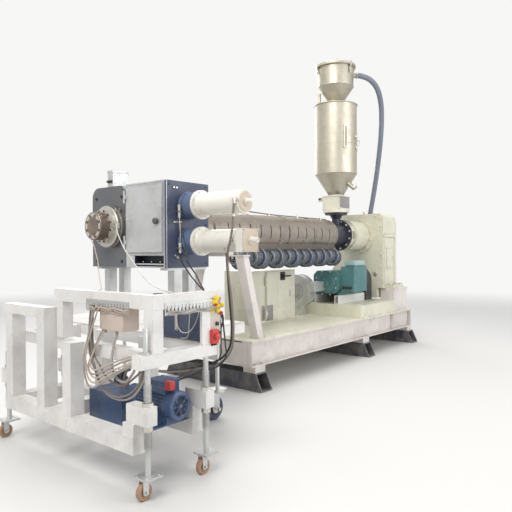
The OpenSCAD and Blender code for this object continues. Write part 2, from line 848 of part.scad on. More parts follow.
module hose_port() {
    plate = 12;
    stub = 110;
    x0 = gearbox_x1 + rear_cover_depth;
    y0 = port_tip[1] - spigot_d;
    y1 = port_tip[1] + spigot_d;
    z1 = port_tip[2] - stub;
    color(galvanised) {
        rod_z([port_tip[0], port_tip[1], z1 - plate - port_length], stub + plate + port_length,
            spigot_d);
        block([x0, y0, z1 - plate], [port_tip[0] + spigot_d, y1, z1]);
        block([x0, y0, z1 - plate], [x0 + plate, y1, port_tip[2] + plate]);
    }
}

// Barrel and its cooling

module barrel() {
    r = barrel_d / 2;
    bore = barrel_bore_d / 2;
    flange_x = -barrel_start + barrel_flange_wall;
    color(steel) turned_x([[-barrel_start, bore], [-barrel_start, barrel_flange_d / 2],
        [flange_x, barrel_flange_d / 2], [flange_x, r], [throat_x0, r], [throat_x0, bore]]);
}

shroud_x0 = -barrel_start + barrel_flange_wall + shroud_front_gap;
shroud_seam_x = shroud_x0 + shroud_front_length;
plenum_x0 = blower_start - 10;

module barrel_shroud() {
    r = shroud_d / 2;
    ring = 24;
    cap = 10;
    inner = r - shroud_wall;
    front_r = r - 12;
    slot_gap = (throat_x0 - shroud_seam_x - 2 * ring) / (slot_count + 1);
    color([0.50, 0.46, 0.42]) difference() {
        union() {
            turned_x([[shroud_x0, barrel_d / 2], [shroud_x0, front_r], [shroud_seam_x, front_r],
                [shroud_seam_x, r], [throat_x0, r], [throat_x0, barrel_d / 2],
                [throat_x0 - cap, barrel_d / 2], [throat_x0 - cap, inner],
                [shroud_seam_x + cap, inner], [shroud_seam_x + cap, front_r - shroud_wall],
                [shroud_x0 + cap, front_r - shroud_wall], [shroud_x0 + cap, barrel_d / 2]]);
            difference() {
                block([plenum_x0, -plenum_half_width, barrel_height - plenum_drop],
                    [throat_x0, plenum_half_width, barrel_height]);
                rod_x([plenum_x0 - lap, 0, barrel_height], throat_x0 - plenum_x0 + 2 * lap,
                    2 * r - shroud_wall);
            }
        }
        for (i = [1 : slot_count]) translate([shroud_seam_x + ring + i * slot_gap, 0,
            barrel_height]) for (side = [0, 180]) rotate([90 + side, 0, 0])
                slot_cutter(r);
    }
}

// A cutter for one slot through the wall, at the local Z side
module slot_cutter(r) {
    half = r * sin(slot_arc / 2);
    block([-slot_w / 2, -half, r * 0.7], [slot_w / 2, half, r + 10]);
}

// The spiral outline of a blower scroll, from the top to its neck
function scroll_outline(small, large, neck_top, neck_width) = concat(
    [for (a = [0 : 15 : 270]) let (r = small + (large - small) * a / 270)
        [r * cos(a + 90), r * sin(a + 90)]],
    [[large, neck_top], [large - neck_width, neck_top]]);

function blower_x(i) = blower_start + i * blower_pitch;

// As many blowers as the plenum feeds
scroll_rim = 8;
scroll_start = blower_motor_length + scroll_rim;
blowers = min(blower_count, 1 + floor((throat_x0 - blower_start - scroll_start - scroll_rim)
    / blower_pitch));

module blower_scrolls() {
    rim = scroll_rim;
    neck_top = blower_drop - plenum_drop;
    neck_width = scroll_r * 0.6;
    wide = scroll_outline(scroll_r_small, scroll_r, neck_top, neck_width);
    slim = scroll_outline(scroll_r_small - rim, scroll_r - rim, neck_top, neck_width - rim);
    color([0.20, 0.23, 0.28]) for (i = [0 : blowers - 1])
        translate([blower_x(i) + scroll_start, -blower_side, barrel_height - blower_drop]) {
            difference() {
                union() {
                    slab_x(slim, 0, scroll_width);
                    slab_x(wide, 0, rim);
                    slab_x(wide, scroll_width - rim, scroll_width);
                }
                rod_x([scroll_width / 2, 0, 0], scroll_width, scroll_inlet_d);
            }
        }
}

module blower_motors() {
    r = blower_motor_d / 2;
    hub = 12;
    neck = 8;
    color([0.35, 0.40, 0.46]) for (i = [0 : blowers - 1])
        translate([blower_x(i), -blower_side, barrel_height - blower_drop]) rotate([0, 90, 0])
            rotate_extrude($fn = round_fn) polygon([[0, -hub], [hub, -hub], [hub, 0],
                [r - hub, 0], [r, hub], [r, blower_motor_length - hub],
                [r - hub, blower_motor_length], [r - hub, blower_motor_length + neck],
                [0, blower_motor_length + neck]]);
}

module barrel_support() {
    leg_x0 = 40;
    leg_x1 = 130;
    web = 12;
    foot_out = base_width / 2 - 60;
    foot_in = foot_out - 95;
    top_out = foot_out - 200;
    top_in = top_out - 115;
    plate = 16;
    saddle_half = 150;
    saddle_low = barrel_height - shroud_d / 2 - 60;
    leg_top = saddle_low - plate;
    leg_low = deck_z + plate - lap;
    leg_high = leg_top + lap;
    outline = [[-foot_out, leg_low], [-foot_in, leg_low], [-top_in, leg_high],
        [-top_out, leg_high]];
    inner = [[-foot_out + web, leg_low - lap], [-foot_in - web, leg_low - lap],
        [-top_in - web, leg_high + lap], [-top_out + web, leg_high + lap]];
    color(frame_color) {
        both_sides() {
            difference() {
                slab_x(outline, leg_x0, leg_x1);
                slab_x(inner, leg_x0 + web, leg_x1 + lap);
            }
            block([leg_x0 - web, -foot_out - web, deck_z],
                [leg_x1 + web, -foot_in + web, deck_z + plate]);
        }
        block([leg_x0 - web, -top_out - web, leg_top], [leg_x1 + web, top_out + web, saddle_low]);
        difference() {
            block([leg_x0, -saddle_half, saddle_low - lap],
                [leg_x1, saddle_half, barrel_height - shroud_d / 4]);
            rod_x([leg_x0 - lap, 0, barrel_height], leg_x1 - leg_x0 + 2 * lap,
                shroud_d + 2 * turn_gap);
        }
    }
}

// Drive

module drive_motor() {
    half = motor_width / 2;
    bevel = 60;
    bell = 60;
    fin = 10;
    fin_count = 7;
    foot = 26;
    shaft = 60;
    low = motor_z + foot;
    high = motor_z + motor_height;
    fin_pitch = (high - low - 2 * bevel) / fin_count;
    outline = [[-half, low + bevel], [bevel - half, low], [half - bevel, low],
        [half, low + bevel], [half, high - bevel], [half - bevel, high], [bevel - half, high],
        [-half, high - bevel]];
    color(teal) {
        difference() {
            slab_x(outline, motor_x0, motor_x1);
            both_sides() for (i = [0 : fin_count - 1])
                block([motor_x0 + bell, half - fin, low + bevel + (i + 0.25) * fin_pitch],
                    [motor_x1 - bell, half + lap, low + bevel + (i + 0.75) * fin_pitch]);
        }
        both_sides() block([motor_x0 + bell, rail_y - rail_width / 2, motor_z],
            [motor_x1 - bell, rail_y + rail_width / 2, low + foot]);
        rod_x([motor_x1 - lap, 0, motor_axis_z], guard_x0 - motor_x1 + lap, shaft);
    }
}

module motor_terminal_box() {
    y1 = -motor_width / 2;
    y0 = y1 - terminal_depth;
    x0 = motor_x0 + 60;
    z0 = motor_z + 60;
    z1 = z0 + terminal_height;
    lid = 14;
    top_box = 80;
    color(teal) {
        block([x0, y0 + lid, z0], [x0 + terminal_length, y1, z1]);
        block([x0 - lid / 2, y0, z0 - lid / 2],
            [x0 + terminal_length + lid / 2, y0 + lid + lap, z1 + lid / 2]);
        block([x0 + top_box, y0 + lid * 2, z1 - lap],
            [x0 + terminal_length - lid, y1 - lid * 2, z1 + top_box]);
    }
}

module coupling_guard() {
    color([0.25, 0.26, 0.27]) translate([guard_x0, 0, 0]) rotate([90, 0, 90])
        linear_extrude(height = guard_length) {
            intersection() {
                translate([0, motor_axis_z]) circle(r = guard_r, $fn = round_fn);
                translate([-guard_r, motor_axis_z]) square([2 * guard_r, guard_r]);
            }
            translate([-guard_r, platform_z])
                square([2 * guard_r, motor_axis_z - platform_z + lap]);
        }
}

module motor_rails() {
    wall = 8;
    x0 = motor_x0 - 40;
    half = rail_width / 2;
    color(white) both_sides() difference() {
        block([x0, rail_y - half, platform_z], [x0 + rail_length, rail_y + half, motor_z]);
        block([x0 - lap, rail_y - half + wall, platform_z + wall],
            [x0 + rail_length + lap, rail_y + half - wall, motor_z - wall]);
    }
}

module cooling_blower() {
    x0 = platform_x0 - cooler_width - 60;
    y = base_width / 2 - cooler_d / 2 - 90;
    r = cooler_d / 2;
    z = deck_z + r + 110;
    rim = 10;
    duct = 130;
    color([0.62, 0.63, 0.60]) {
        difference() {
            union() {
                rod_x([x0, y, z], rim, cooler_d);
                rod_x([x0, y, z], cooler_width, cooler_d - 2 * rim);
                rod_x([x0 + cooler_width - rim, y, z], rim, cooler_d);
                rod_x([x0 - 20, y, z], 20 + lap, cooler_d * 0.52);
            }
            rod_x([x0 - 20 - lap, y, z], 60, cooler_d * 0.44);
        }
        block([x0 + rim, y - duct / 2, deck_z], [x0 + cooler_width - rim, y + duct / 2, z - r / 2]);
        block([x0 + rim, y - r - duct / 2, z], [x0 + cooler_width - rim, y - r / 2, z + duct]);
        block([x0 + cooler_width - rim - lap, y - r - duct / 2, z],
            [motor_x0, y - r + duct / 2, z + duct]);
    }
}

// Control cabinet

cabinet_z1 = deck_z + cabinet_height;
cabinet_x0 = platform_x0 - cabinet_start;
cabinet_x1 = cabinet_x0 + cabinet_length;
door_x0 = cabinet_x0 + fixed_panel_width;
door_x1 = door_x0 + cabinet_door_width;
door_margin = 14;
hinge_r = 8;
hinge_pin_r = 4;
hinge_knuckle = 36;

module control_cabinet() {
    w = cabinet_wall;
    y0 = cabinet_face;
    hinge_y = y0 - cabinet_door_wall - hinge_r;
    color(cream) {
        difference() {
            block([cabinet_x0, y0, deck_z], [cabinet_x1, y0 + cabinet_depth, cabinet_z1]);
            block([cabinet_x0 + w, y0 + w, deck_z + w],
                [cabinet_x1 - w, y0 + cabinet_depth - w, cabinet_z1 - w]);
            block([door_x0 + 2 * door_margin, y0 - lap, deck_z + 4 * door_margin],
                [door_x1 - door_margin, y0 + w + lap, cabinet_z1 - 3 * door_margin]);
        }
        for (z = cabinet_hinge_z) {
            block([door_x0 - 2 * hinge_r - 2, hinge_y - hinge_r / 2, z - hinge_knuckle],
                [door_x0 - hinge_r - 2, y0 + lap, z + 2 * hinge_knuckle]);
            hinge_post(door_x0, hinge_y, z);
        }
    }
}

cabinet_hinge_z = [deck_z + 100, cabinet_z1 - 150];

// The fixed half of a hinge: two knuckles on one pin
module hinge_post(x, y, z) {
    for (s = [-hinge_knuckle - turn_gap, hinge_knuckle + turn_gap]) {
        rod_z([x, y, z + s], hinge_knuckle, 2 * hinge_r);
        block([x - 2 * hinge_r, y - hinge_r / 2, z + s],
            [x, y + hinge_r / 2, z + s + hinge_knuckle]);
    }
    rod_z([x, y, z - hinge_knuckle], 3 * hinge_knuckle, 2 * hinge_pin_r);
}

// The moving half of a hinge: one knuckle with a bore, reaching to X plus
module hinge_eye(x, y, z, reach) {
    difference() {
        union() {
            rod_z([x, y, z], hinge_knuckle, 2 * hinge_r);
            block([x, y - hinge_r / 2, z], [x + reach, y + hinge_r / 2, z + hinge_knuckle]);
            block([x + hinge_r + 2, y - hinge_r / 2, z],
                [x + reach, y + hinge_r + lap, z + hinge_knuckle]);
        }
        rod_z([x, y, z - lap], hinge_knuckle + 2 * lap, 2 * (hinge_pin_r + pin_clearance));
    }
}

handle_x = door_x1 - handle_inset;
handle_z = cabinet_z1 - 77;
spindle_d = 12;
spindle_length = 10;

module cabinet_door() {
    y1 = cabinet_face - turn_gap;
    y0 = cabinet_face - cabinet_door_wall;
    hinge_y = y0 - hinge_r;
    gap = 12;
    color(cream) {
        difference() {
            block([door_x0 + gap, y0, deck_z + 2 * door_margin],
                [door_x1, y1, cabinet_z1 - door_margin]);
            rod_y([handle_x, y0 - lap, handle_z], spindle_length + 2 * lap,
                spindle_d + 2 * pin_clearance);
        }
        for (z = cabinet_hinge_z) hinge_eye(door_x0, hinge_y, z, 3 * hinge_r);
    }
}

module disconnect_handle() {
    y1 = cabinet_face - cabinet_door_wall - turn_gap;
    hub = 24;
    hub_d = 60;
    tail = 20;
    grip = 18;
    color(dark) {
        rod_y([handle_x, y1 - hub, handle_z], hub, hub_d);
        rod_y([handle_x, y1 - lap, handle_z], spindle_length, spindle_d);
        block([handle_x - tail, y1 - 2 * hub, handle_z - grip / 2],
            [handle_x + handle_reach, y1 - hub + lap, handle_z + grip / 2]);
    }
}

// Head

module screen_changer() {
    z1 = barrel_height + changer_top;
    c = changer_corner;
    color([0.45, 0.46, 0.49])
        translate([head_x0, 0, 0]) rotate([90, 0, 90]) linear_extrude(height = head_length) {
            translate([-changer_near, head_z]) square([changer_near + changer_far,
                z1 - c - head_z]);
            translate([-changer_near + c, z1 - c - lap])
                square([changer_near + changer_far - 2 * c, c + lap]);
            translate([changer_far - c, z1 - c]) circle(r = c, $fn = round_fn);
            translate([c - changer_near, z1 - c]) circle(r = c, $fn = round_fn);
        }
}

module outlet_flange() {
    bore = outlet_bore_d / 2;
    x1 = head_x0;
    x2 = x1 - outlet_drum_length;
    x3 = x2 - outlet_ring_length;
    x4 = x3 - outlet_flange_length;
    lip = 10;
    color([0.78, 0.77, 0.75]) difference() {
        turned_x([[x4, bore], [x4, outlet_flange_d / 2], [x3, outlet_flange_d / 2],
            [x3, outlet_ring_d / 2], [x2, outlet_ring_d / 2], [x2, outlet_drum_d / 2 - lip],
            [x2 + lip, outlet_drum_d / 2], [x1, outlet_drum_d / 2], [x1, bore]]);
        for (i = [0 : outlet_bolt_count - 1])
            translate([0, 0, barrel_height]) rotate([360 * (i + 0.5) / outlet_bolt_count, 0, 0])
                translate([x4 - lap, 0, outlet_bolt_circle / 2]) rotate([0, 90, 0])
                    cylinder(h = outlet_flange_length * 0.6, d = outlet_bolt_d, $fn = round_fn);
    }
}

head_door_z1 = barrel_height + enclosure_top - 20;
head_door_z0 = head_door_z1 - head_door_height;
head_hinge_z = [head_door_z0 + 70, head_door_z1 - 110];
head_hinge_y = enclosure_y1 - 14;
head_hinge_x = head_x0 - head_door_wall - hinge_r;

module head_enclosure() {
    w = enclosure_wall;
    z0 = head_z;
    z1 = barrel_height + enclosure_top;
    recess = 90;
    recess_y1 = enclosure_y1 - 115;
    color([0.70, 0.70, 0.69]) {
        difference() {
            block([head_x0, enclosure_y0, z0], [head_x1, enclosure_y1, z1]);
            block([head_x0 + w, enclosure_y0 + w, z0 + recess + 2 * w],
                [head_x1 - w, enclosure_y1 - w, z1 - w]);
            block([head_x0 - lap, enclosure_y0 + 3 * w, head_door_z0 + w],
                [head_x0 + w + lap, enclosure_y1 - 3 * w, head_door_z1 - w]);
            block([head_x0 - lap, enclosure_y0 + w, z0 + w],
                [head_x0 + recess, recess_y1, z0 + recess + w]);
        }
        block([head_x0 + w, enclosure_y0 + w - lap, z0 + 2 * w],
            [head_x0 + 3 * w, recess_y1 + lap, z0 + 3 * w]);
        for (z = head_hinge_z) head_hinge_post(z);
    }
}

// The fixed half of the head door's hinge
module head_hinge_post(z) {
    for (s = [-hinge_knuckle - turn_gap, hinge_knuckle + turn_gap]) {
        rod_z([head_hinge_x, head_hinge_y, z + s], hinge_knuckle, 2 * hinge_r);
        block([head_hinge_x - hinge_r / 2, head_hinge_y, z + s],
            [head_hinge_x + hinge_r / 2, head_hinge_y + hinge_r + 4, z + s + hinge_knuckle]);
        block([head_hinge_x - hinge_r / 2, head_hinge_y + hinge_r + 1, z + s],
            [head_x0 + lap, head_hinge_y + hinge_r + 4, z + s + hinge_knuckle]);
    }
    rod_z([head_hinge_x, head_hinge_y, z - hinge_knuckle], 3 * hinge_knuckle, 2 * hinge_pin_r);
}

module head_door() {
    gap = 10;
    x1 = head_x0 - turn_gap;
    x0 = head_x0 - head_door_wall;
    knob_z = barrel_height + 26;
    knob_y = enclosure_y0 + 75;
    color([0.74, 0.74, 0.73]) {
        block([x0, enclosure_y0 + 12, head_door_z0], [x1, head_hinge_y - gap, head_door_z1]);
        rod_x([x0 - 26, knob_y, knob_z], 26 + lap, 34);
        for (z = head_hinge_z) difference() {
            union() {
                rod_z([head_hinge_x, head_hinge_y, z], hinge_knuckle, 2 * hinge_r);
                block([head_hinge_x - hinge_r / 2, head_hinge_y - 3 * hinge_r, z],
                    [head_hinge_x + hinge_r / 2, head_hinge_y, z + hinge_knuckle]);
                block([head_hinge_x - hinge_r / 2, head_hinge_y - 3 * hinge_r, z],
                    [head_hinge_x + hinge_r + lap, head_hinge_y - gap - 2, z + hinge_knuckle]);
            }
            rod_z([head_hinge_x, head_hinge_y, z - lap], hinge_knuckle + 2 * lap,
                2 * (hinge_pin_r + pin_clearance));
        }
    }
}

module cylinder_plate() {
    color(slate) block([head_x0, plate_y0, head_z],
        [head_x1, enclosure_y0, barrel_height + enclosure_top]);
}

function cylinder_z(i) = barrel_height + 10 + (i - 0.5) * cylinder_spacing;

module cylinder_mounts() {
    color([0.36, 0.43, 0.55]) for (i = [0, 1])
        rod_y([cylinder_x, mount_y0, cylinder_z(i)], cylinder_mount_length, cylinder_mount_d);
}

module hydraulic_cylinders() {
    t = cylinder_flange_wall;
    y1 = mount_y0;
    y0 = y1 - t - cylinder_length;
    cap = 12;
    square_cap = 60;
    color(white) {
        for (i = [0, 1]) {
            rod_y([cylinder_x, y1 - t, cylinder_z(i)], t, cylinder_flange_d);
            rod_y([cylinder_x, y0, cylinder_z(i)], cylinder_length + lap, cylinder_d);
        }
        rod_y([cylinder_x, y0 - cap, cylinder_z(1)], cap + lap, cylinder_d - 2 * cap);
        rod_y([cylinder_x, y0 - square_cap, cylinder_z(1)], square_cap, 36);
        block([cylinder_x - cylinder_d / 2 - cap, y0 - square_cap, cylinder_z(0) - cylinder_d / 2],
            [cylinder_x + cylinder_d / 2, y0 + lap, cylinder_z(0) + cylinder_d / 2]);
        rod_y([cylinder_x, y0 - 2 * square_cap, cylinder_z(0)], square_cap + lap, 44);
    }
}

module junction_boxes() {
    top_z = barrel_height + changer_top;
    top_box = [171, 76, 145];
    top_box_y0 = -16;
    cart_box = [120, 240, 150];
    cart_box_z = top_rail_z - top_tube;
    cart_box_y = -1340;
    color(galvanised) {
        block([head_x0, top_box_y0, top_z],
            [head_x0 + top_box[0], top_box_y0 + top_box[1], top_z + top_box[2]]);
        block([top_x0, cart_box_y, cart_box_z - cart_box[2]],
            [top_x0 + cart_box[0], cart_box_y + cart_box[1], cart_box_z]);
    }
}

module head_stand() {
    s = stand_post;
    x = [head_x0 + stand_front, head_x1 - stand_rear];
    y = [enclosure_y0 + s / 2, changer_far - s];
    color([0.66, 0.66, 0.66]) {
        for (px = x) for (py = y)
            block([px, py - s / 2, shelf_z], [px + s, py + s / 2, head_z - 20]);
        block([head_x0 + 20, y[0] - s / 2, head_z - 20], [head_x1, y[0] + s / 2, head_z]);
        block([head_x0 + 20, y[1] - s / 2, head_z - 20], [head_x1, y[1] + s / 2, head_z]);
    }
}

// Cart

lower_z1 = lower_frame_z + lower_tube;
upper_x = [rail_x[0] + lower_tube / 2, rail_x[1] + lower_tube / 2];
upper_near = -cart_near - jack_reach;
top_x0 = upper_x[0] - 10;
top_z0 = top_rail_z - top_tube;
side_rail_top = upper_z1 + 210;
side_tube = 70;
side_y0 = -570;
far_post_y = -20;
flat_bar = 20;
tray_post_x = rail_x[1] - upper_tube / 2 + 10;

// Cart rails that run across the barrel, each one a straight tube
module cart_long_rails() {
    h = lower_tube / 2;
    t = upper_tube;
    color(white) {
        for (x = rail_x) block([x - h, -cart_near, lower_frame_z], [x + h, 0, lower_z1]);
        for (x = upper_x)
            block([x, upper_near + t, upper_frame_z], [x + t, 0, upper_z1]);
        block([upper_x[1], 0, upper_frame_z], [upper_x[1] + t, rear_far, upper_z1]);
        block([-cart_rear - t, -rear_near + t, upper_frame_z],
            [-cart_rear, rear_far - t, upper_z1]);
        block([top_x0, upper_near, top_z0], [top_x0 + top_tube, -550, top_rail_z]);
        block([rail_x[0] - h, side_y0, side_rail_top - side_tube],
            [rail_x[0] + h, side_tube / 2, side_rail_top]);
    }
}

// Cart rails that run along the barrel, each one a straight tube
module cart_cross_rails() {
    h = lower_tube / 2;
    t = upper_tube;
    color(white) {
        for (y = [-lower_tube, -620])
            block([rail_x[0] + h, y, lower_frame_z], [rail_x[1] - h, y + lower_tube, lower_z1]);
        block([-cart_front, upper_near, upper_frame_z],
            [upper_x[1] + t - 25, upper_near + t, upper_z1]);
        block([upper_x[0] + t, -t - 20, upper_frame_z], [rail_x[1] - h, -20, upper_z1]);
        block([upper_x[1] + t, -rear_near, upper_frame_z],
            [head_x1, -rear_near + t, upper_z1]);
        block([upper_x[1] + t, rear_far - t, upper_frame_z], [head_x1, rear_far, upper_z1]);
        block([top_x0 + top_tube, upper_near, top_z0],
            [upper_x[1] + t, upper_near + t, top_rail_z]);
    }
}

module cart_posts() {
    h = lower_tube / 2;
    t = upper_tube;
    color(white) {
        for (y = [-cart_front_mid, side_y0, far_post_y - lower_tube])
            block([rail_x[0] - h, y, lower_z1],
                [rail_x[0] + h, y + lower_tube, y < side_y0 ? upper_z1 : side_rail_top - side_tube]);
        for (y = [-cart_mid_near, side_y0, far_post_y - lower_tube])
            block([rail_x[1] - h, y, lower_z1], [rail_x[1] + h, y + lower_tube, upper_z1]);
        for (x = rail_x) block([x - h, -cart_near, lower_z1],
            [x + h, -cart_near + lower_tube, outrigger_top - outrigger_height]);
        block([top_x0, upper_near, upper_z1], [top_x0 + t, upper_near + t, top_z0]);
        block([top_x0, -660, upper_z1], [top_x0 + t, -660 + t, top_z0]);
        block([tray_post_x, upper_near, upper_z1], [tray_post_x + t, upper_near + flat_bar, top_z0]);
    }
}

// The blocks that carry the jack screws
module jack_outriggers() {
    h = outrigger_width / 2;
    color(white) for (x = rail_x) for (end = [0, 1]) {
        y_jack = jack_y[end];
        y0 = end == 0 ? y_jack - h : far_post_y;
        y1 = end == 0 ? y_jack - h + outrigger_length : y_jack + h;
        difference() {
            block([x - h, y0, outrigger_top - outrigger_height], [x + h, y1, outrigger_top]);
            rod_z([x, y_jack, outrigger_top - outrigger_height - lap],
                outrigger_height + 2 * lap, jack_d + 2 * turn_gap);
        }
    }
}

module cart_shelf() {
    color(white) block([upper_x[1], -rear_near, upper_z1], [head_x1, rear_far, shelf_z]);
}

// Places of the six casters: X, Y and whether it is a large one
caster_at = [
    [rail_x[0], jack_y[0], 0],
    [rail_x[1], jack_y[0], 0],
    [rail_x[0], jack_y[1], 0],
    [-cart_rear - upper_tube / 2, -rear_near + upper_tube * 3, 1],
    [rail_x[1], jack_y[1], 0],
    [-cart_rear - upper_tube / 2, rear_far - upper_tube, 1]];

function wheel_d(i) = caster_at[i][2] == 1 ? large_wheel_d : small_wheel_d;
function wheel_w(i) = caster_at[i][2] == 1 ? large_wheel_w : small_wheel_w;
function trail(i) = caster_at[i][2] == 1 ? large_trail : small_trail;
function kingpin_r(i) = wheel_d(i) * 0.08;
function axle_r(i) = wheel_d(i) * 0.06;
function crown_wall(i) = wheel_d(i) * 0.1;
function crown_z(i) = wheel_d(i) * 1.12;
function plate_z(i) = crown_z(i) + crown_wall(i) + turn_gap;
function fork_gap(i) = wheel_w(i) / 2 + 2;
function fork_wall(i) = wheel_d(i) * 0.05;
plate_wall = 10;

module jack_screws() {
    plate_half = 58;
    color(galvanised) for (i = [0 : 5]) {
        p = caster_at[i];
        top = upper_frame_z - (p[2] == 1 ? 0 : turn_gap);
        translate([p[0], p[1], 0]) {
            block([-plate_half, -plate_half, plate_z(i)],
                [plate_half, plate_half, plate_z(i) + plate_wall]);
            rod_z([0, 0, plate_z(i) + plate_wall - lap], top - plate_z(i) - plate_wall + lap,
                jack_d);
            rod_z([0, 0, crown_z(i) - turn_gap], plate_z(i) - crown_z(i) + turn_gap + lap,
                2 * kingpin_r(i));
            rod_z([0, 0, crown_z(i) - turn_gap - 4], 4, 3 * kingpin_r(i));
        }
    }
}

// The swivelling fork of one caster with its axle
module fork(i) {
    p = caster_at[i];
    d = wheel_d(i);
    t = trail(i);
    g = fork_gap(i);
    w = fork_wall(i);
    arm = d * 0.2;
    color(galvanised) translate([p[0], p[1], 0]) {
        difference() {
            union() {
                rod_z([0, 0, crown_z(i)], crown_wall(i), d * 0.62);
                block([-t - arm, -g - w, crown_z(i)], [0, g + w, crown_z(i) + w]);
            }
            rod_z([0, 0, crown_z(i) - lap], crown_wall(i) + 2 * lap,
                2 * (kingpin_r(i) + pin_clearance));
        }
        for (side = [-g - w, g]) {
            rod_y([-t, side, d / 2], w, 2 * arm);
            block([-t - arm, side, d / 2], [-t + arm, side + w, crown_z(i) + w]);
        }
        rod_y([-t, -g - w / 2, d / 2], 2 * g + w, 2 * axle_r(i));
    }
}

// One wheel: tread, tyre shoulders and hub on its bore
module wheel(i) {
    p = caster_at[i];
    d = wheel_d(i);
    w = wheel_w(i);
    shoulder = d * 0.04;
    rim = d * 0.3;
    dish = w * 0.2;
    bore = axle_r(i) + pin_clearance;
    hub = d * 0.14;
    color([0.30, 0.30, 0.31]) translate([p[0] - trail(i), p[1] - w / 2, d / 2]) rotate([-90, 0, 0])
        rotate_extrude($fn = round_fn) polygon([[bore, 0], [hub, 0], [hub, dish],
            [rim, dish], [rim, 0], [d / 2 - shoulder, 0], [d / 2, shoulder],
            [d / 2, w - shoulder], [d / 2 - shoulder, w], [rim, w], [rim, w - dish],
            [hub, w - dish], [hub, w], [bore, w]]);
}

module caster_fork_1() { fork(0); }
module caster_fork_2() { fork(1); }
module caster_fork_3() { fork(2); }
module caster_fork_4() { fork(3); }
module caster_wheel_1() { wheel(0); }
module caster_wheel_2() { wheel(1); }
module caster_wheel_3() { wheel(2); }
module caster_wheel_4() { wheel(3); }

module far_casters() {
    for (i = [4, 5]) {
        fork(i);
        wheel(i);
    }
}

module oil_tank() {
    size = [tank_length, tank_width, tank_height];
    low = [rail_x[1] + tank_gap, -cart_near, shelf_z];
    rim = [tank_rim, tank_rim, 0];
    filler = low + [tank_length / 2, tank_width - filler_d, tank_height - lap];
    color(blue) {
        block(low, low + size);
        block(low - rim + [0, 0, tank_height - tank_lid], low + size + rim);
        rod_z(filler, filler_d / 2, filler_d);
        block([upper_x[1], -cart_near + 50, upper_z1],
            [low[0] + tank_length, -cart_near + 150, shelf_z + lap]);
    }
}

// How far the tank's lid stands out past its walls
tank_rim = 12;
filler_d = 70;

module pump_set() {
    x = (rail_x[0] + rail_x[1]) / 2 + 65;
    z = lower_z1 + 115;
    motor_d = 166;
    y0 = -cart_near - 20;
    length = 370;
    bell = 100;
    body = 370;
    plate = 8;
    plate_top = lower_z1;
    bell_d = 140;
    color(blue) {
        rod_y([x, y0, z], length, motor_d);
        block([x - 60, y0 + 80, z], [x + 60, y0 + 240, z + motor_d / 2 + 60]);
        rod_y([x, y0 + length - lap, z], bell + 2 * lap, bell_d);
        block([x - 100, y0 + length + bell, z - 225], [x + 100, y0 + length + bell + body, z]);
        block([x - 60, y0 + 60, plate_top - lap], [x + 60, y0 + length - 60, z]);
        block([rail_x[0] + lower_tube / 2, y0 + 60, plate_top - plate],
            [rail_x[1] - lower_tube / 2, y0 + length - 60, plate_top]);
    }
}

module cable_trays() {
    side_tray = 450;
    near_tray = 460;
    tray_inset = 150;
    near_tray_inset = 90;
    color(galvanised) {
        slotted_tray([top_x0, -cart_near + tray_inset, top_z0 - tray_drop], side_tray, false);
        slotted_tray([top_x0 + near_tray_inset, upper_near - tray_wall, top_z0 - tray_drop],
            near_tray, true);
    }
}

// How far the trays hang under the top rails
tray_drop = 40;
tray_wall = 4;

// A slotted strip, along X or along Y
module slotted_tray(start, length, along_x) {
    h = 76;
    t = tray_wall;
    pitch = 30;
    slot = 12;
    count = floor(length / pitch);
    translate(start) difference() {
        if (along_x) cube([length, t, h]);
        else translate([-t, 0, 0]) cube([t, length, h]);
        for (i = [0 : count - 1]) {
            if (along_x) translate([(i + 0.3) * pitch, -lap, h / 4])
                cube([slot, t + 2 * lap, h / 2]);
            else translate([-t - lap, (i + 0.3) * pitch, h / 4])
                cube([t + 2 * lap, slot, h / 2]);
        }
    }
}

loop_points = [[-2192, -1250, 895], [-2215, -1250, 830], [-2252, -1260, 720],
    [-2256, -1330, 635], [-2256, -1430, 640], [-2252, -1490, 715], [-2250, -1520, 780]];
loop_end = [-2250, -1540, 780];
pressure_points = [[-1150, -1390, 1380], [-1160, -1340, 1200], [-1135, -1270, 900],
    [-1120, -1230, 680], [-1160, -1150, 560], [-1300, -1000, 500], [-1500, -920, 480],
    [-1700, -900, 500], [-1840, -900, 540], [-1900, -900, 500]];
pressure_end = [-1900, -900, 455];

module cable_loom() {
    loop_start = [loop_points[0][0], loop_points[0][1], top_z0 - 150];
    cap_z = cylinder_z(0) - cylinder_d / 2;
    shift = [90, 0, 0];
    first = pressure_points[0];
    color([0.55, 0.53, 0.50]) {
        hose(concat([loop_start], smooth(loop_points, 3), [loop_end]), 16, 8, [1, 0, 0]);
        for (i = [0, 1]) hose(concat([[first[0], first[1], cap_z] + i * shift],
            smooth([for (k = [0 : len(pressure_points) - 1])
                pressure_points[k] + i * shift * (k > 4 ? 0 : 1) + i * [0, 40, 0] * (k > 4 ? 1 : 0)], 3),
            [pressure_end + i * [0, 40, 0]]), 20, 8, [0.6, 0.8, 0]);
    }
}

cross_tubes();
levelling_pads();
side_beams();
cross_members();
deck_plate();
drive_platform();
gearbox_pedestals();
gearbox_housing();
gearbox_cover();
thrust_housing();
lantern();
feed_throat();
slide_gate();
hopper();
hopper_lid();
hopper_loader();
loader_lid();
loader_hose();
hose_port();
barrel();
barrel_shroud();
blower_scrolls();
blower_motors();
barrel_support();
drive_motor();
motor_terminal_box();
coupling_guard();
motor_rails();
cooling_blower();
control_cabinet();
cabinet_door();
disconnect_handle();
screen_changer();
outlet_flange();
head_enclosure();
head_door();
cylinder_plate();
cylinder_mounts();
hydraulic_cylinders();
junction_boxes();
head_stand();
cart_long_rails();
cart_cross_rails();
cart_posts();
jack_outriggers();
cart_shelf();
jack_screws();
caster_fork_1();
caster_fork_2();
caster_fork_3();
caster_fork_4();
caster_wheel_1();
caster_wheel_2();
caster_wheel_3();
caster_wheel_4();
far_casters();
oil_tank();
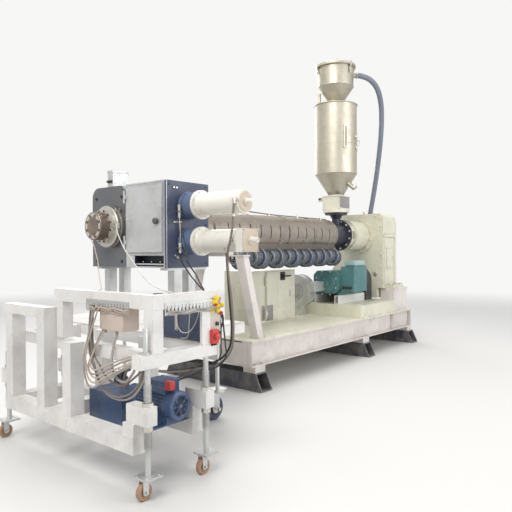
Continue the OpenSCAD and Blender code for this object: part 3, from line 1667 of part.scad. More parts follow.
pump_set();
cable_trays();
cable_loom();
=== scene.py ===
"""Finish of the plastic extruder: materials, hardware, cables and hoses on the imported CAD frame."""
import json
import math
import random

import bmesh
import bpy
from mathutils import Matrix, Vector


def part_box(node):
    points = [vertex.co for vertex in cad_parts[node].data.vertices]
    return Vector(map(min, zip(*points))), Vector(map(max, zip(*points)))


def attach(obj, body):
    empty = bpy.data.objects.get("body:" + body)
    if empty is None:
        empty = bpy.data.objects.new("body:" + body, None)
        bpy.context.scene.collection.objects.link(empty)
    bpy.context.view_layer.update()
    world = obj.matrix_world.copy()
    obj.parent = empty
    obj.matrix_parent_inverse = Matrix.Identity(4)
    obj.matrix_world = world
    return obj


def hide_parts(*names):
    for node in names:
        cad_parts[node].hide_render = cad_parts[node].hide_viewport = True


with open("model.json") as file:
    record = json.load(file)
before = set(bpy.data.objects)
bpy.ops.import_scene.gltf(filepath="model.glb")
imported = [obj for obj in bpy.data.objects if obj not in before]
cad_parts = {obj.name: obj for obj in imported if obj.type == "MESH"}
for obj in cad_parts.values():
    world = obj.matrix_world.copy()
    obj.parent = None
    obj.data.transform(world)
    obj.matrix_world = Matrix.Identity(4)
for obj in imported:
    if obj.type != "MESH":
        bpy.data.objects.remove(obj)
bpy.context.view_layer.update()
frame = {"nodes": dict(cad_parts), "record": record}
MAIN = "extruder"
random.seed(7)

X, Y, Z = Vector((1, 0, 0)), Vector((0, 1, 0)), Vector((0, 0, 1))
NEAR = -Y                          # the side that faces the camera
OUT = -X                           # the outlet end
UP = Z
SIDES = (-1, 1)                    # near side, far side

# Heights and axes of the machine, in metres
AXIS_Z = 1.64
HOPPER_X = 2.53
CYLINDER_X = -1.09
LOWER_Z, UPPER_Z = 1.50, 1.80      # axes of the two cylinders
CROSS_TUBE_X = (0, 2.26, 3.66)
JACKS = ((-2.25, -1.62), (-1.78, -1.62), (-2.25, 0.045), (-1.78, 0.045))


# Camera, stage and lights

CAMERA_PLACE = (-4.21, -4.045, 1.42)
CAMERA_FORWARD = (0.77155, 0.63609, -0.01001)
CAMERA_RIGHT = (0.63609, -0.77162, -0.0045)
CAMERA_LENS = 37.58                # on a sensor 36 mm wide
BACKDROP = (0.93, 0.93, 0.92, 1)
FLOOR_COLOR = (0.66, 0.65, 0.63, 1)
SKY_COLOR = (0.80, 0.82, 0.85, 1)
SKY_STRENGTH = 0.62
FLOOR_HALF = 40
FADE_START = 6.5                   # where the floor begins to run into the backdrop
FADE_END = 15.0
LIGHTS = (                         # name, place, target, size, power and colour
    ("key", (-6.5, -2.5, 7.5), (0.5, 0, 1.2), (5, 5), 520, (1, 0.98, 0.95)),
    ("top", (1.0, 1.0, 8.5), (1.0, 0, 1.0), (7, 4), 400, (1, 1, 1)),
    ("fill", (2.5, -8.5, 3.5), (1.2, 0, 1.4), (7, 4), 330, (0.97, 0.98, 1)),
    ("back", (5.5, 6.5, 5.0), (1.5, 0, 1.4), (5, 4), 220, (1, 1, 1)),
)


def look():
    """The camera of the photograph, solved from its vanishing lines."""
    forward = Vector(CAMERA_FORWARD).normalized()
    right = Vector(CAMERA_RIGHT).normalized()
    right = (right - right.dot(forward) * forward).normalized()
    data = bpy.data.cameras.new("camera")
    data.sensor_width = 36
    data.lens = CAMERA_LENS
    camera = bpy.data.objects.new("camera", data)
    camera.matrix_world = Matrix.Translation(CAMERA_PLACE) @ turn(right, right.cross(forward), -forward)
    bpy.context.scene.collection.objects.link(camera)
    bpy.context.scene.camera = camera


def turn(x, y, z):
    """A turn that carries the axes to three directions."""
    return Matrix((x, y, z)).transposed().to_4x4()


def area_light(name, place, target, size, power, color):
    """A rectangular lamp that looks at a target."""
    data = bpy.data.lights.new(name, "AREA")
    data.shape = "RECTANGLE"
    data.size, data.size_y = size
    data.energy = power
    data.color = color
    lamp = bpy.data.objects.new(name, data)
    lamp.location = place
    lamp.rotation_euler = (Vector(target) - Vector(place)).to_track_quat("-Z", "Y").to_euler()
    bpy.context.scene.collection.objects.link(lamp)


class Shader:
    """The node tree of a material or a world, with short calls for the nodes in use."""

    def __init__(self, owner):
        owner.use_nodes = True
        self.tree = owner.node_tree
        self.bsdf = self.tree.nodes.get("Principled BSDF")
        self.place = self.node("TexCoord").outputs["Object"]

    def feed(self, socket, value):
        """Links the socket to another one, or sets its value."""
        if isinstance(value, bpy.types.NodeSocket):
            self.tree.links.new(value, socket)
        else:
            socket.default_value = value

    def node(self, kind, **inputs):
        """A new node. In the names of its inputs a _ stands for a space."""
        node = self.tree.nodes.new("ShaderNode" + kind)
        for name, value in inputs.items():
            self.feed(node.inputs[name.replace("_", " ")], value)
        return node

    def noise(self, scale, detail, source=None, roughness=0.55):
        """Clouds from zero to one."""
        return self.node("TexNoise", Scale=scale, Detail=detail, Roughness=roughness,
                         Vector=source or self.place).outputs["Fac"]

    def span(self, value, low, high, to_low=0.0, to_high=1.0):
        """Carries one range of a value to another."""
        return self.node("MapRange", Value=value, From_Min=low, From_Max=high,
                         To_Min=to_low, To_Max=to_high).outputs["Result"]

    def maths(self, kind, a, b):
        node = self.node("Math")
        node.operation = kind
        self.feed(node.inputs[0], a)
        self.feed(node.inputs[1], b)
        return node.outputs[0]

    def times(self, a, b):
        return self.maths("MULTIPLY", a, b)

    def blend(self, factor, a, b):
        """Mixes two colours, each a socket or three numbers."""
        node = self.node("Mix")
        node.data_type = "RGBA"
        self.feed(node.inputs["Factor"], factor)
        for socket, value in zip(node.inputs[6:8], (a, b)):
            self.feed(socket, (*value, 1) if isinstance(value, tuple) else value)
        return node.outputs[2]

    def low_part(self, top):
        """One at the floor, zero from a height on."""
        parts = self.node("SeparateXYZ", Vector=self.place)
        return self.span(parts.outputs["Z"], top, 0.0)

    def edges(self, radius=0.007):
        """One where two faces meet."""
        edge = self.node("Bevel", Radius=radius)
        edge.samples = 3
        dot = self.node("VectorMath")
        dot.operation = "DOT_PRODUCT"
        self.feed(dot.inputs[0], edge.outputs["Normal"])
        self.feed(dot.inputs[1], self.node("NewGeometry").outputs["Normal"])
        return self.span(dot.outputs["Value"], 0.985, 0.80)

    def seen_rays(self):
        """One for rays of the camera, and for those that metal and glass throw on."""
        rays = self.node("LightPath").outputs
        seen = self.maths("MAXIMUM", rays["Is Camera Ray"], rays["Is Glossy Ray"])
        return self.maths("MAXIMUM", seen, rays["Is Transmission Ray"])

    def mix_out(self, factor, a, b, output):
        """Mixes the shaders of two nodes into the output."""
        mix = self.node("MixShader", Fac=factor)
        self.feed(mix.inputs[1], a.outputs[0])
        self.feed(mix.inputs[2], b.outputs[0])
        self.feed(self.tree.nodes[output].inputs["Surface"], mix.outputs[0])


def floor_material():
    """A pale plain floor that runs into the backdrop far away."""
    mat = bpy.data.materials.new("floor")
    s = Shader(mat)
    s.feed(s.bsdf.inputs["Base Color"], FLOOR_COLOR)
    s.feed(s.bsdf.inputs["Roughness"], 0.6)
    length = s.node("VectorMath")
    length.operation = "LENGTH"
    s.feed(length.inputs[0], s.place)
    fade = s.node("MapRange", Value=length.outputs["Value"], From_Min=FADE_START, From_Max=FADE_END)
    fade.interpolation_type = "SMOOTHSTEP"
    share = s.times(fade.outputs["Result"], s.seen_rays())
    s.mix_out(share, s.bsdf, s.node("Emission", Color=BACKDROP), "Material Output")
    return mat


def set_world():
    """A soft sky that lights the machine, behind the plain backdrop that is seen."""
    world = bpy.data.worlds.new("world")
    bpy.context.scene.world = world
    s = Shader(world)
    sky = s.tree.nodes["Background"]
    s.feed(sky.inputs["Color"], SKY_COLOR)
    s.feed(sky.inputs["Strength"], SKY_STRENGTH)
    s.mix_out(s.seen_rays(), sky, s.node("Background", Color=BACKDROP, Strength=1.0), "World Output")


def set_stage():
    """The floor, the world and the lights."""
    mesh = bpy.data.meshes.new("floor")
    s = FLOOR_HALF
    mesh.from_pydata([(-s, -s, 0), (s, -s, 0), (s, s, 0), (-s, s, 0)], [], [(0, 1, 2, 3)])
    floor = bpy.data.objects.new("floor", mesh)
    bpy.context.scene.collection.objects.link(floor)
    mesh.materials.append(floor_material())
    set_world()
    for row in LIGHTS:
        area_light(*row)


# Materials

DUST_TOP = 0.75                    # height up to which the floor's dust settles


def shade(color, factor):
    """A colour made darker or lighter."""
    return tuple(min(1.0, c * factor) for c in color)


def surface(name, base, rough, metallic=0.0, vary=0.08, dirt=0.25, dirt_color=(0.23, 0.19, 0.15),
            worn=0.0, worn_color=(0.45, 0.43, 0.40), bump=0.02, grain=60.0, brushed=None,
            coat=0.0, dust_low=0.0):
    """A procedural finish: cloudy colour, settled dirt, worn edges, uneven gloss and a fine bump.

    brushed stretches the grain along one axis, as (x, y, z) scales, for drawn or turned metal.
    dust_low is how much the lowest part is dirtied."""
    mat = bpy.data.materials.new(name)
    s = Shader(mat)
    into = s.bsdf.inputs
    into["Metallic"].default_value = metallic
    if coat:
        into["Coat Weight"].default_value = coat
        into["Coat Roughness"].default_value = 0.25
    clouds = s.noise(1.7, 4)
    color = s.blend(s.span(clouds, 0.35, 0.65), shade(base, 1 - vary), shade(base, 1 + vary))
    stretched = s.node("Mapping", Scale=brushed or (1, 1, 1), Vector=s.place)
    fine = s.noise(grain, 3, stretched.outputs["Vector"])
    if brushed:
        color = s.blend(s.span(fine, 0.35, 0.65), shade(base, 0.86), color)
    stains = s.span(s.noise(5.5, 8, roughness=0.68), 0.50, 0.72)
    color = s.blend(s.times(stains, dirt), color, dirt_color)
    specks = s.span(s.noise(95, 2), 0.66, 0.72)
    color = s.blend(s.times(specks, dirt * 0.8), color, dirt_color)
    if dust_low:
        low = s.times(s.low_part(DUST_TOP), dust_low)
        color = s.blend(s.times(low, s.span(s.noise(8, 6), 0.32, 0.62)), color, dirt_color)
    if worn:
        rubbed = s.times(s.edges(), s.span(s.noise(26, 5), 0.44, 0.60))
        color = s.blend(s.times(rubbed, worn), color, worn_color)
    s.feed(into["Base Color"], color)
    gloss = s.span(s.noise(9, 6), 0.3, 0.7, max(0.05, rough - 0.10), min(1.0, rough + 0.13))
    s.feed(into["Roughness"], gloss)
    lift = s.node("Bump", Strength=0.35 if brushed else 0.25, Distance=bump * 0.01,
                  Height=s.maths("ADD", fine, s.times(clouds, 1.5)))
    s.feed(into["Normal"], lift.outputs["Normal"])
    return mat


PAINT_RUB = (0.42, 0.37, 0.32)
CART_RUB = (0.36, 0.31, 0.26)
BLUE_RUB = (0.45, 0.45, 0.46)
BARE = (0.50, 0.49, 0.47)
RUST = (0.25, 0.20, 0.16)
DUST = (0.28, 0.25, 0.21)
SOOT = (0.16, 0.13, 0.11)

# The colour and the roughness of each finish, and where it differs from the plain one
FINISHES = {
    "frame_navy": ((0.028, 0.034, 0.060), 0.5,
        dict(worn=0.6, dirt=0.35, dirt_color=DUST, dust_low=0.55)),
    "frame_white": ((0.72, 0.665, 0.63), 0.42,
        dict(worn=0.8, worn_color=PAINT_RUB, dirt=0.22, dust_low=0.35)),
    "machine_cream": ((0.68, 0.66, 0.53), 0.36, dict(worn=0.55, dirt=0.20, coat=0.15)),
    "cabinet_cream": ((0.67, 0.655, 0.54), 0.38, dict(worn=0.5, dirt=0.22, coat=0.1)),
    "cart_white": ((0.74, 0.725, 0.70), 0.36,
        dict(worn=0.85, worn_color=CART_RUB, dirt=0.22, dust_low=0.35)),
    "cart_old": ((0.64, 0.60, 0.57), 0.42,
        dict(worn=0.85, worn_color=CART_RUB, dirt=0.35, dust_low=0.45)),
    "cylinder_white": ((0.76, 0.735, 0.66), 0.3,
        dict(dirt=0.16, coat=0.3, worn=0.5, worn_color=(0.45, 0.40, 0.34))),
    "cap_tan": ((0.60, 0.50, 0.395), 0.42, dict(dirt=0.35, dirt_color=(0.36, 0.27, 0.19), worn=0.3)),
    "slate_navy": ((0.050, 0.064, 0.115), 0.4,
        dict(dirt=0.25, dirt_color=(0.20, 0.20, 0.20), worn=0.6)),
    "mount_blue": ((0.105, 0.150, 0.250), 0.36, dict(dirt=0.3, worn=0.6, worn_color=BLUE_RUB)),
    "pump_blue": ((0.045, 0.090, 0.190), 0.38, dict(dirt=0.3, worn=0.6, worn_color=BLUE_RUB)),
    "motor_teal": ((0.065, 0.185, 0.19), 0.4, dict(dirt=0.3, dirt_color=(0.30, 0.31, 0.27), worn=0.4)),
    "pale_teal": ((0.34, 0.48, 0.45), 0.4, dict(dirt=0.2, worn=0.4)),
    "blower_grey": ((0.085, 0.105, 0.14), 0.42, dict(dirt=0.3, worn=0.7, worn_color=(0.5, 0.5, 0.5))),
    "throat_black": ((0.022, 0.025, 0.040), 0.45, dict(dirt=0.3, worn=0.7, bump=0.06, grain=45)),
    "changer_grey": ((0.135, 0.14, 0.155), 0.36,
        dict(metallic=0.35, dirt=0.4, worn=0.6, worn_color=BARE, bump=0.06, grain=38)),
    # Painted shade: a dark brown for the plenum that stands in for the shadow under the shroud; the soot is
    # dirt
    "plenum_painted_shade": ((0.13, 0.115, 0.10), 0.42,
        dict(metallic=0.6, dirt=0.4, dirt_color=SOOT, worn=0.5)),
    "guard_grey": ((0.06, 0.065, 0.07), 0.45, dict(dirt=0.35, worn=0.6)),
    "hopper_steel": ((0.52, 0.485, 0.40), 0.46,
        dict(metallic=1.0, dirt=0.18, dirt_color=(0.36, 0.33, 0.26),
             brushed=(0.6, 0.6, 14), grain=30, vary=0.12)),
    "galvanised": ((0.56, 0.57, 0.56), 0.45,
        dict(metallic=0.75, vary=0.16, dirt=0.35, worn=0.4, worn_color=RUST)),
    "barrel_steel": ((0.55, 0.53, 0.49), 0.36,
        dict(metallic=0.9, dirt=0.45, dirt_color=(0.22, 0.19, 0.15),
             brushed=(8, 1, 1), grain=40)),
    "shroud_steel": ((0.36, 0.32, 0.275), 0.36,
        dict(metallic=0.9, vary=0.16, dirt=0.35, dirt_color=SOOT,
             brushed=(0.5, 7, 7), grain=30)),
    "enclosure_silver": ((0.52, 0.53, 0.53), 0.34,
        dict(metallic=0.35, dirt=0.25, worn=0.5, worn_color=(0.30, 0.28, 0.26))),
    "zinc": ((0.62, 0.60, 0.55), 0.32, dict(metallic=1.0, dirt=0.35, worn=0.4, worn_color=RUST)),
    "black_bolt": ((0.05, 0.05, 0.055), 0.4, dict(metallic=0.6, dirt=0.4)),
    "outlet_white": ((0.60, 0.58, 0.53), 0.4,
        dict(metallic=0.5, vary=0.25, dirt=0.6, dirt_color=(0.22, 0.19, 0.16),
             grain=30, bump=0.05)),
    "heated_steel": ((0.30, 0.245, 0.20), 0.34,
        dict(metallic=0.95, vary=0.35, dirt=0.65, dirt_color=(0.13, 0.085, 0.06),
             grain=34, bump=0.05)),
    "heater_band": ((0.36, 0.335, 0.30), 0.38,
        dict(metallic=0.85, vary=0.2, dirt=0.5, dirt_color=SOOT,
             brushed=(9, 1, 1), grain=34)),
    "sheet_grey": ((0.30, 0.29, 0.29), 0.42, dict(metallic=0.4, dirt=0.35)),
    "hose_grey": ((0.19, 0.21, 0.26), 0.5, dict(dirt_color=(0.30, 0.29, 0.27))),
    "handle_black": ((0.02, 0.02, 0.022), 0.3, dict(dirt=0.15)),
    "wheel_rubber": ((0.10, 0.075, 0.055), 0.6, dict(dirt=0.5, dirt_color=(0.30, 0.27, 0.23))),
    "wheel_tan": ((0.34, 0.21, 0.13), 0.5, dict(dirt=0.5, dirt_color=(0.20, 0.17, 0.14))),
    "wheel_navy": ((0.03, 0.042, 0.085), 0.45, dict(dirt=0.4, dirt_color=(0.22, 0.21, 0.20))),
    "cable_grey": ((0.33, 0.30, 0.275), 0.5, dict(dirt=0.3)),
    "cable_beige": ((0.50, 0.42, 0.355), 0.5, dict(dirt=0.3)),
    "cable_brown": ((0.20, 0.165, 0.14), 0.48, dict(dirt=0.3)),
    "cable_black": ((0.022, 0.022, 0.024), 0.42, dict(dirt=0.3, dirt_color=(0.2, 0.18, 0.16))),
    "white_cable": ((0.62, 0.61, 0.57), 0.45, dict(dirt=0.3)),
    "red_plastic": ((0.52, 0.035, 0.03), 0.35, dict(dirt=0.2)),
    "yellow_plastic": ((0.75, 0.52, 0.02), 0.38, dict(dirt=0.2)),
    "beige_box": ((0.56, 0.50, 0.43), 0.45, {}),
    "pink_box": ((0.60, 0.50, 0.43), 0.42, dict(dirt=0.22, coat=0.1)),
    # Near-black painted shade for the head's recess and the blower inlets; also the dark seams of the
    # cylinder mounts
    "painted_shade_and_seams": ((0.020, 0.024, 0.042), 0.5, dict(dirt=0.3)),
    "acrylic": ((0.36, 0.30, 0.20), 0.2, dict(dirt=0.15, coat=0.5)),
}
MATS = {name: surface(name, base, rough, **more) for name, (base, rough, more) in FINISHES.items()}

# The slot of the pieces with a finish, where the record has no slot of the finish's name
SLOTS = {
    "zinc": "galvanised", "sheet_grey": "galvanised", "pink_box": "galvanised",
    "beige_box": "galvanised", "acrylic": "handle_black", "yellow_plastic": "handle_black",
    "red_plastic": "handle_black", "pale_teal": "motor_teal", "plenum_painted_shade": "shroud_steel",
    "cylinder_white": "machine_cream", "cap_tan": "machine_cream", "cabinet_cream": "machine_cream",
    "white_cable": "machine_cream", "heated_steel": "barrel_steel", "heater_band": "barrel_steel",
    "painted_shade_and_seams": "slate_navy", "pump_blue": "mount_blue",
}

# The finish of nodes that don't show the one of their slot
LOOK = {
    "blower_motors": "blower_grey", "cooling_blower": "galvanised", "coupling_guard": "guard_grey",
    "hydraulic_cylinders": "cylinder_white", "outlet_flange": "outlet_white",
    "pump_set": "pump_blue", "control_cabinet": "cabinet_cream", "cabinet_door": "cabinet_cream",
    "caster_wheel_1": "wheel_tan", "caster_wheel_2": "wheel_tan", "caster_wheel_3": "wheel_tan",
    "caster_wheel_4": "wheel_navy", "far_casters": "wheel_navy", "cart_shelf": "cart_old",
}


def dress_nodes():
    """Gives every node of the frame its finish."""
    for entry in frame["record"]["subparts"]:
        name = entry["node"]
        materials = frame["nodes"][name].data.materials
        materials.clear()
        materials.append(MATS[LOOK.get(name, entry["material_slot"])])


# Mesh helpers

def basis(axis):
    """A turn that carries +Z to the axis."""
    return Vector(axis).to_track_quat("Z", "Y").to_matrix().to_4x4()


def facing(direction):
    """A turn whose local Z points along a level direction, with local Y up."""
    d = Vector(direction).normalized()
    return turn(Z.cross(d), Z, d)


def angles(count, start=0.0):
    """A full turn shared out evenly, from a start in degrees on."""
    return [math.radians(start) + 2 * math.pi * i / count for i in range(count)]


def level(a):
    """The level direction at an angle."""
    return Vector((math.cos(a), math.sin(a), 0))


def across(a):
    """The direction at an angle in the plane across the barrel."""
    return Vector((0, math.cos(a), math.sin(a)))


def upright(a):
    """The direction at an angle in the plane of X and Z."""
    return Vector((math.cos(a), 0, math.sin(a)))


def ring_points(centre, axis, radius, count, start=0.0):
    """Points spread evenly on a circle square to an axis."""
    at = Matrix.Translation(centre) @ basis(axis)
    return [at @ Vector((radius * math.cos(a), radius * math.sin(a), 0)) for a in angles(count, start)]


def turned(*steps, tip=None, lip=0.002, start=0):
    """The profile of a stepped stud, from pairs of (top of the step, radius), with a tip's radius.

    The bevel between steps is 2 mm high, and the one of the tip as high as lip says."""
    profile = [(start, steps[0][1])]
    for i, (top, radius) in enumerate(steps):
        if i:
            profile.append((steps[i - 1][0] + 0.002, radius))
        profile.append((top, radius))
    end = steps[-1][0]
    if tip is not None:
        end += lip
        profile.append((end, tip))
    return profile + [(end, 0)]


def dome(r, h):
    """The profile of a flat screw head."""
    return [(0, r), (h, r - 0.0005), (h + 0.001, 0)]


def collar(low, high, width, bevel=0.0005):
    """The profile of a flat band that stands out from radius low to high."""
    return [(0, low), (bevel, high), (width - bevel, high), (width, low)]


def smooth_route(points, steps=6):
    """Catmull-Rom points through the given ones."""
    pts = [Vector(p) for p in points]
    out = []
    for i in range(len(pts) - 1):
        p0, p1, p2, p3 = pts[max(i - 1, 0)], pts[i], pts[i + 1], pts[min(i + 2, len(pts) - 1)]
        for k in range(steps):
            t = k / steps
            out.append(0.5 * (2 * p1 + (p2 - p0) * t + (2 * p0 - 5 * p1 + 4 * p2 - p3) * t * t
                              + (3 * p1 - p0 - 3 * p2 + p3) * t ** 3))
    return out + [pts[-1]]


def box_of(node):
    """The lowest and the highest corner of a node."""
    low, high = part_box(node)
    return Vector(low), Vector(high)


class Piece:
    """A piece in the making: what a with-block puts into it becomes one object on a body."""

    def __init__(self, name, mat="zinc", slot=None, body=MAIN, smooth=35):
        self.name = name
        self.mat = mat
        self.slot = slot or SLOTS.get(mat, mat)
        self.body = body
        self.smooth = math.radians(smooth)
        self.bm = bmesh.new()

    def __enter__(self):
        return self

    def __exit__(self, error, *_):
        if error is None:
            self.finish()

    def finish(self):
        """Makes the object, with sharp edges where faces meet at more than the smoothing angle."""
        bmesh.ops.recalc_face_normals(self.bm, faces=self.bm.faces)
        for face in self.bm.faces:
            face.smooth = True
        for edge in self.bm.edges:
            if len(edge.link_faces) == 2 and edge.calc_face_angle(0) > self.smooth:
                edge.smooth = False
        mesh = bpy.data.meshes.new(self.name)
        self.bm.to_mesh(mesh)
        self.bm.free()
        mesh.materials.append(MATS[self.mat])
        self.object = bpy.data.objects.new(self.name, mesh)
        bpy.context.scene.collection.objects.link(self.object)
        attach(self.object, self.body)

    def cube(self, at, size, bevel=0.0):
        """A block of a size about the origin of a matrix."""
        made = bmesh.ops.create_cube(self.bm, size=1, matrix=at @ Matrix.Diagonal((*size, 1)))
        if bevel:
            edges = {e for v in made["verts"] for e in v.link_edges}
            bmesh.ops.bevel(self.bm, geom=list(edges), offset=bevel, segments=2, profile=0.6,
                            affect="EDGES")

    def box(self, a, b, bevel=0.0):
        """A block between two opposite corners."""
        a, b = Vector(a), Vector(b)
        self.cube(Matrix.Translation((a + b) / 2), [abs(v) for v in b - a], bevel)

    def lathe(self, place, axis, profile, sides=40):
        """A turned solid: profile is pairs of (distance along the axis, radius)."""
        at = Matrix.Translation(place) @ basis(axis)
        rings = []
        for along, radius in profile:
            places = [Vector((radius * math.cos(a), radius * math.sin(a), along))
                      for a in (angles(sides) if radius > 1e-6 else [0])]
            rings.append([self.bm.verts.new(at @ p) for p in places])
        for a, b in zip(rings, rings[1:]):
            for i in range(sides):
                j = (i + 1) % sides
                quad = dict.fromkeys((a[i % len(a)], a[j % len(a)], b[j % len(b)], b[i % len(b)]))
                if len(quad) > 2:
                    self.bm.faces.new(list(quad))
        for ring, order in ((rings[0], -1), (rings[-1], 1)):
            if len(ring) > 2:
                self.bm.faces.new(ring[::order])

    def bolt(self, place, axis, r, washer=True):
        """A hexagon bolt head on its washer, sunk a little so that it sits on the face."""
        at, n = Vector(place), Vector(axis).normalized()
        if washer:
            self.lathe(at - n * r * 0.1, n,
                       [(0, r * 1.5), (r * 0.28, r * 1.5), (r * 0.32, r * 1.42), (r * 0.32, 0)], 16)
        base = r * 0.2 if washer else -r * 0.1
        self.lathe(at, n, [(base, r), (base + r * 0.9, r), (base + r * 1.05, r * 0.86),
                           (base + r * 1.05, 0)], 6)

    def screw(self, place, axis, r, height=1.0):
        """A cylinder-head screw with its hexagon socket."""
        n, h = Vector(axis).normalized(), r * height
        self.lathe(Vector(place) - n * r * 0.2, n,
                   [(0, r), (h, r), (h + r * 0.16, r * 0.84), (h + r * 0.16, r * 0.5),
                    (h * 0.5, r * 0.48), (h * 0.5, 0)], 18)

    def ring(self, centre, axis, radius, wire, sides=48, around=8):
        """A ring of round wire."""
        at = Matrix.Translation(centre) @ basis(axis)
        grid = []
        for a in angles(sides):
            grid.append([])
            for b in angles(around):
                reach = radius + wire * math.cos(b)
                spot = Vector((reach * math.cos(a), reach * math.sin(a), wire * math.sin(b)))
                grid[-1].append(self.bm.verts.new(at @ spot))
        for row, after in zip(grid, grid[1:] + grid[:1]):
            for k in range(around):
                m = (k + 1) % around
                self.bm.faces.new([row[k], after[k], after[m], row[m]])

    def tube(self, route, radius, sides=12, radii=None):
        """A swept tube, with its cross axes carried along so that it doesn't twist."""
        side = None
        rings = []
        for i, p in enumerate(route):
            along = (route[min(i + 1, len(route) - 1)] - route[max(i - 1, 0)]).normalized()
            if side is None:
                side = along.cross(Z if abs(along.z) < 0.9 else X).normalized()
            side = (side - along * side.dot(along)).normalized()
            up = along.cross(side)
            r = radii[i] if radii else radius
            rings.append([self.bm.verts.new(p + r * (math.cos(a) * side + math.sin(a) * up))
                          for a in angles(sides)])
        for a, b in zip(rings, rings[1:]):
            for k in range(sides):
                m = (k + 1) % sides
                self.bm.faces.new([a[k], a[m], b[m], b[k]])
        self.bm.faces.new(rings[0][::-1])
        self.bm.faces.new(rings[-1])

    def weld(self, a, b, r=0.004):
        """A weld bead from a to b, with its ripples."""
        a, b = Vector(a), Vector(b)
        count = max(4, int((b - a).length / (r * 1.2)))
        route = [a.lerp(b, i / count) for i in range(count + 1)]
        radii = [r * (0.82 + 0.18 * math.sin(i * 2.1) + random.uniform(-0.08, 0.08))
                 for i in range(count + 1)]
        self.tube(route, r, 6, radii)


# In the calls below, dress is finish, slot, body and smoothing angle, as Piece takes them

def box_piece(name, low, high, bevel, *dress):
    with Piece(name, *dress) as p:
        p.box(low, high, bevel)


def studs(name, places, axis, profile, sides, *dress):
    """One piece of equal turned solids."""
    with Piece(name, *dress) as p:
        for place in places:
            p.lathe(place, axis, profile, sides)


def lathe_piece(name, place, *more):
    studs(name, [place], *more)


def bolts(name, places, axis, r, mat="zinc", washer=True):
    """One piece of equal hexagon bolts."""
    with Piece(name, mat, smooth=30) as p:
        for place in places:
            p.bolt(place, axis, r, washer)


def screws(name, places, axis, r, height, *dress):
    """One piece of equal socket screws."""
    with Piece(name, *dress) as p:
        for place in places:
            p.screw(place, axis, r, height)


def hang(replaces):
    """Hides the frame's part that a cord replaces, if one is given."""
    if replaces:
        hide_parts(replaces)


def cord(name, points, radius, mat, replaces=None):
    """A free cable or hose along a smooth curve through its points."""
    route = smooth_route(points, 8)
    with Piece(name, mat, "cable_grey", smooth=80) as p:
        p.tube(route, radius)
    hang(replaces)


# Cords, made first

HOSE_POINTS = [(2.790, -0.298, 3.941), (2.839, -0.337, 3.924), (2.902, -0.373, 3.892),
               (2.973, -0.398, 3.842), (3.046, -0.408, 3.774), (3.125, -0.402, 3.685),
               (3.213, -0.379, 3.565), (3.311, -0.335, 3.409), (3.415, -0.273, 3.214),
               (3.536, -0.184, 2.953), (3.656, -0.078, 2.643), (3.756, 0.030, 2.325),
               (3.835, 0.135, 2.001), (3.893, 0.228, 1.668), (3.925, 0.289, 1.376),
               (3.939, 0.317, 1.119), (3.940, 0.320, 1.025)]
HOSE_R = 0.040
HOSE_RIB = 0.0095                  # half the pitch of the ribs
SPIGOT_TIP = 0.320                 # from the hopper's axis
PORT_TIP = Vector((3.940, 0.320, 1.000))


def evenly(route, gap):
    """Points a fixed distance apart along a route."""
    out, carried = [route[0]], 0.0
    for a, b in zip(route, route[1:]):
        step = (b - a).length
        while carried + step >= gap:
            a = a.lerp(b, (gap - carried) / step)
            step = (b - a).length
            carried = 0.0
            out.append(a.copy())
        carried += step
    return out + [route[-1]]


def material_hose():
    """The ribbed hose from the loader's spigot to the bracket behind the gearbox."""
    spigot = level(math.radians(-50))
    root = Vector((HOPPER_X, 0, 3.95))
    start = root + spigot * (SPIGOT_TIP - 0.03)
    end = PORT_TIP - UP * 0.03
    through = [start, root + spigot * (SPIGOT_TIP + 0.025)] + HOSE_POINTS + [end]
    route = evenly(smooth_route(through, 10), HOSE_RIB)
    with Piece("material_hose", "hose_grey", smooth=80) as p:
        p.tube(route, HOSE_R, 20, [HOSE_R if i % 2 else HOSE_R * 0.94 for i in range(len(route))])
    hang("loader_hose")
    block = Vector((0.011, 0.011, 0.008))
    with Piece("hose_clamps") as p:
        for at, along in ((start + spigot * 0.008, spigot), (end + UP * 0.008, UP)):
            p.lathe(at, along, collar(HOSE_R, HOSE_R * 1.05, 0.013), 36)
            side = along.cross(UP).normalized() if abs(along.z) < 0.5 else OUT
            screw = at + along * 0.0065 + side * 0.050
            p.box(screw - block, screw + block, 0.002)


LOOP_POINTS = [(-2.192, -1.250, .925), (-2.192, -1.250, .895), (-2.215, -1.250, .830),
               (-2.248, -1.275, .725), (-2.254, -1.335, .650), (-2.256, -1.420, .640),
               (-2.254, -1.480, .690), (-2.252, -1.520, .745), (-2.250, -1.548, .790)]
PRESSURE_RUN = [(-1.300, -1.000, .500), (-1.500, -.920, .500), (-1.660, -.900, .545),
                (-1.780, -.900, .600), (-1.862, -.900, .592), (-1.900, -.900, .530),
                (-1.900, -.900, .455)]
LOWER_HOSE = [(-1.150, -1.226, 1.440), (-1.150, -1.226, 1.400), (-1.150, -1.232, 1.300),
              (-1.150, -1.249, 1.116), (-1.150, -1.264, .962), (-1.142, -1.268, .808),
              (-1.135, -1.235, .660), (-1.165, -1.145, .560)] + PRESSURE_RUN
UPPER_HOSE = [(-1.203, -1.352, 1.800), (-1.204, -1.351, 1.760), (-1.205, -1.346, 1.700),
              (-1.204, -1.338, 1.607), (-1.203, -1.312, 1.494), (-1.196, -1.284, 1.426),
              (-1.178, -1.262, 1.320), (-1.166, -1.266, 1.200), (-1.163, -1.281, 1.100),
              (-1.162, -1.296, .960), (-1.156, -1.300, .808), (-1.148, -1.270, .655),
              (-1.175, -1.175, .545)]


def pressure_hoses():
    """The signal loop of the cart and the two hoses from the cylinders to the pump."""
    cord("cart_cable_loop", LOOP_POINTS, 0.008, "cable_grey", "cable_loom")
    cord("pressure_hose_1", LOWER_HOSE, 0.009, "cable_black", "cable_loom")
    beside = [Vector(p) - Y * 0.035 for p in PRESSURE_RUN]
    cord("pressure_hose_2", UPPER_HOSE + beside, 0.009, "cable_brown", "cable_loom")


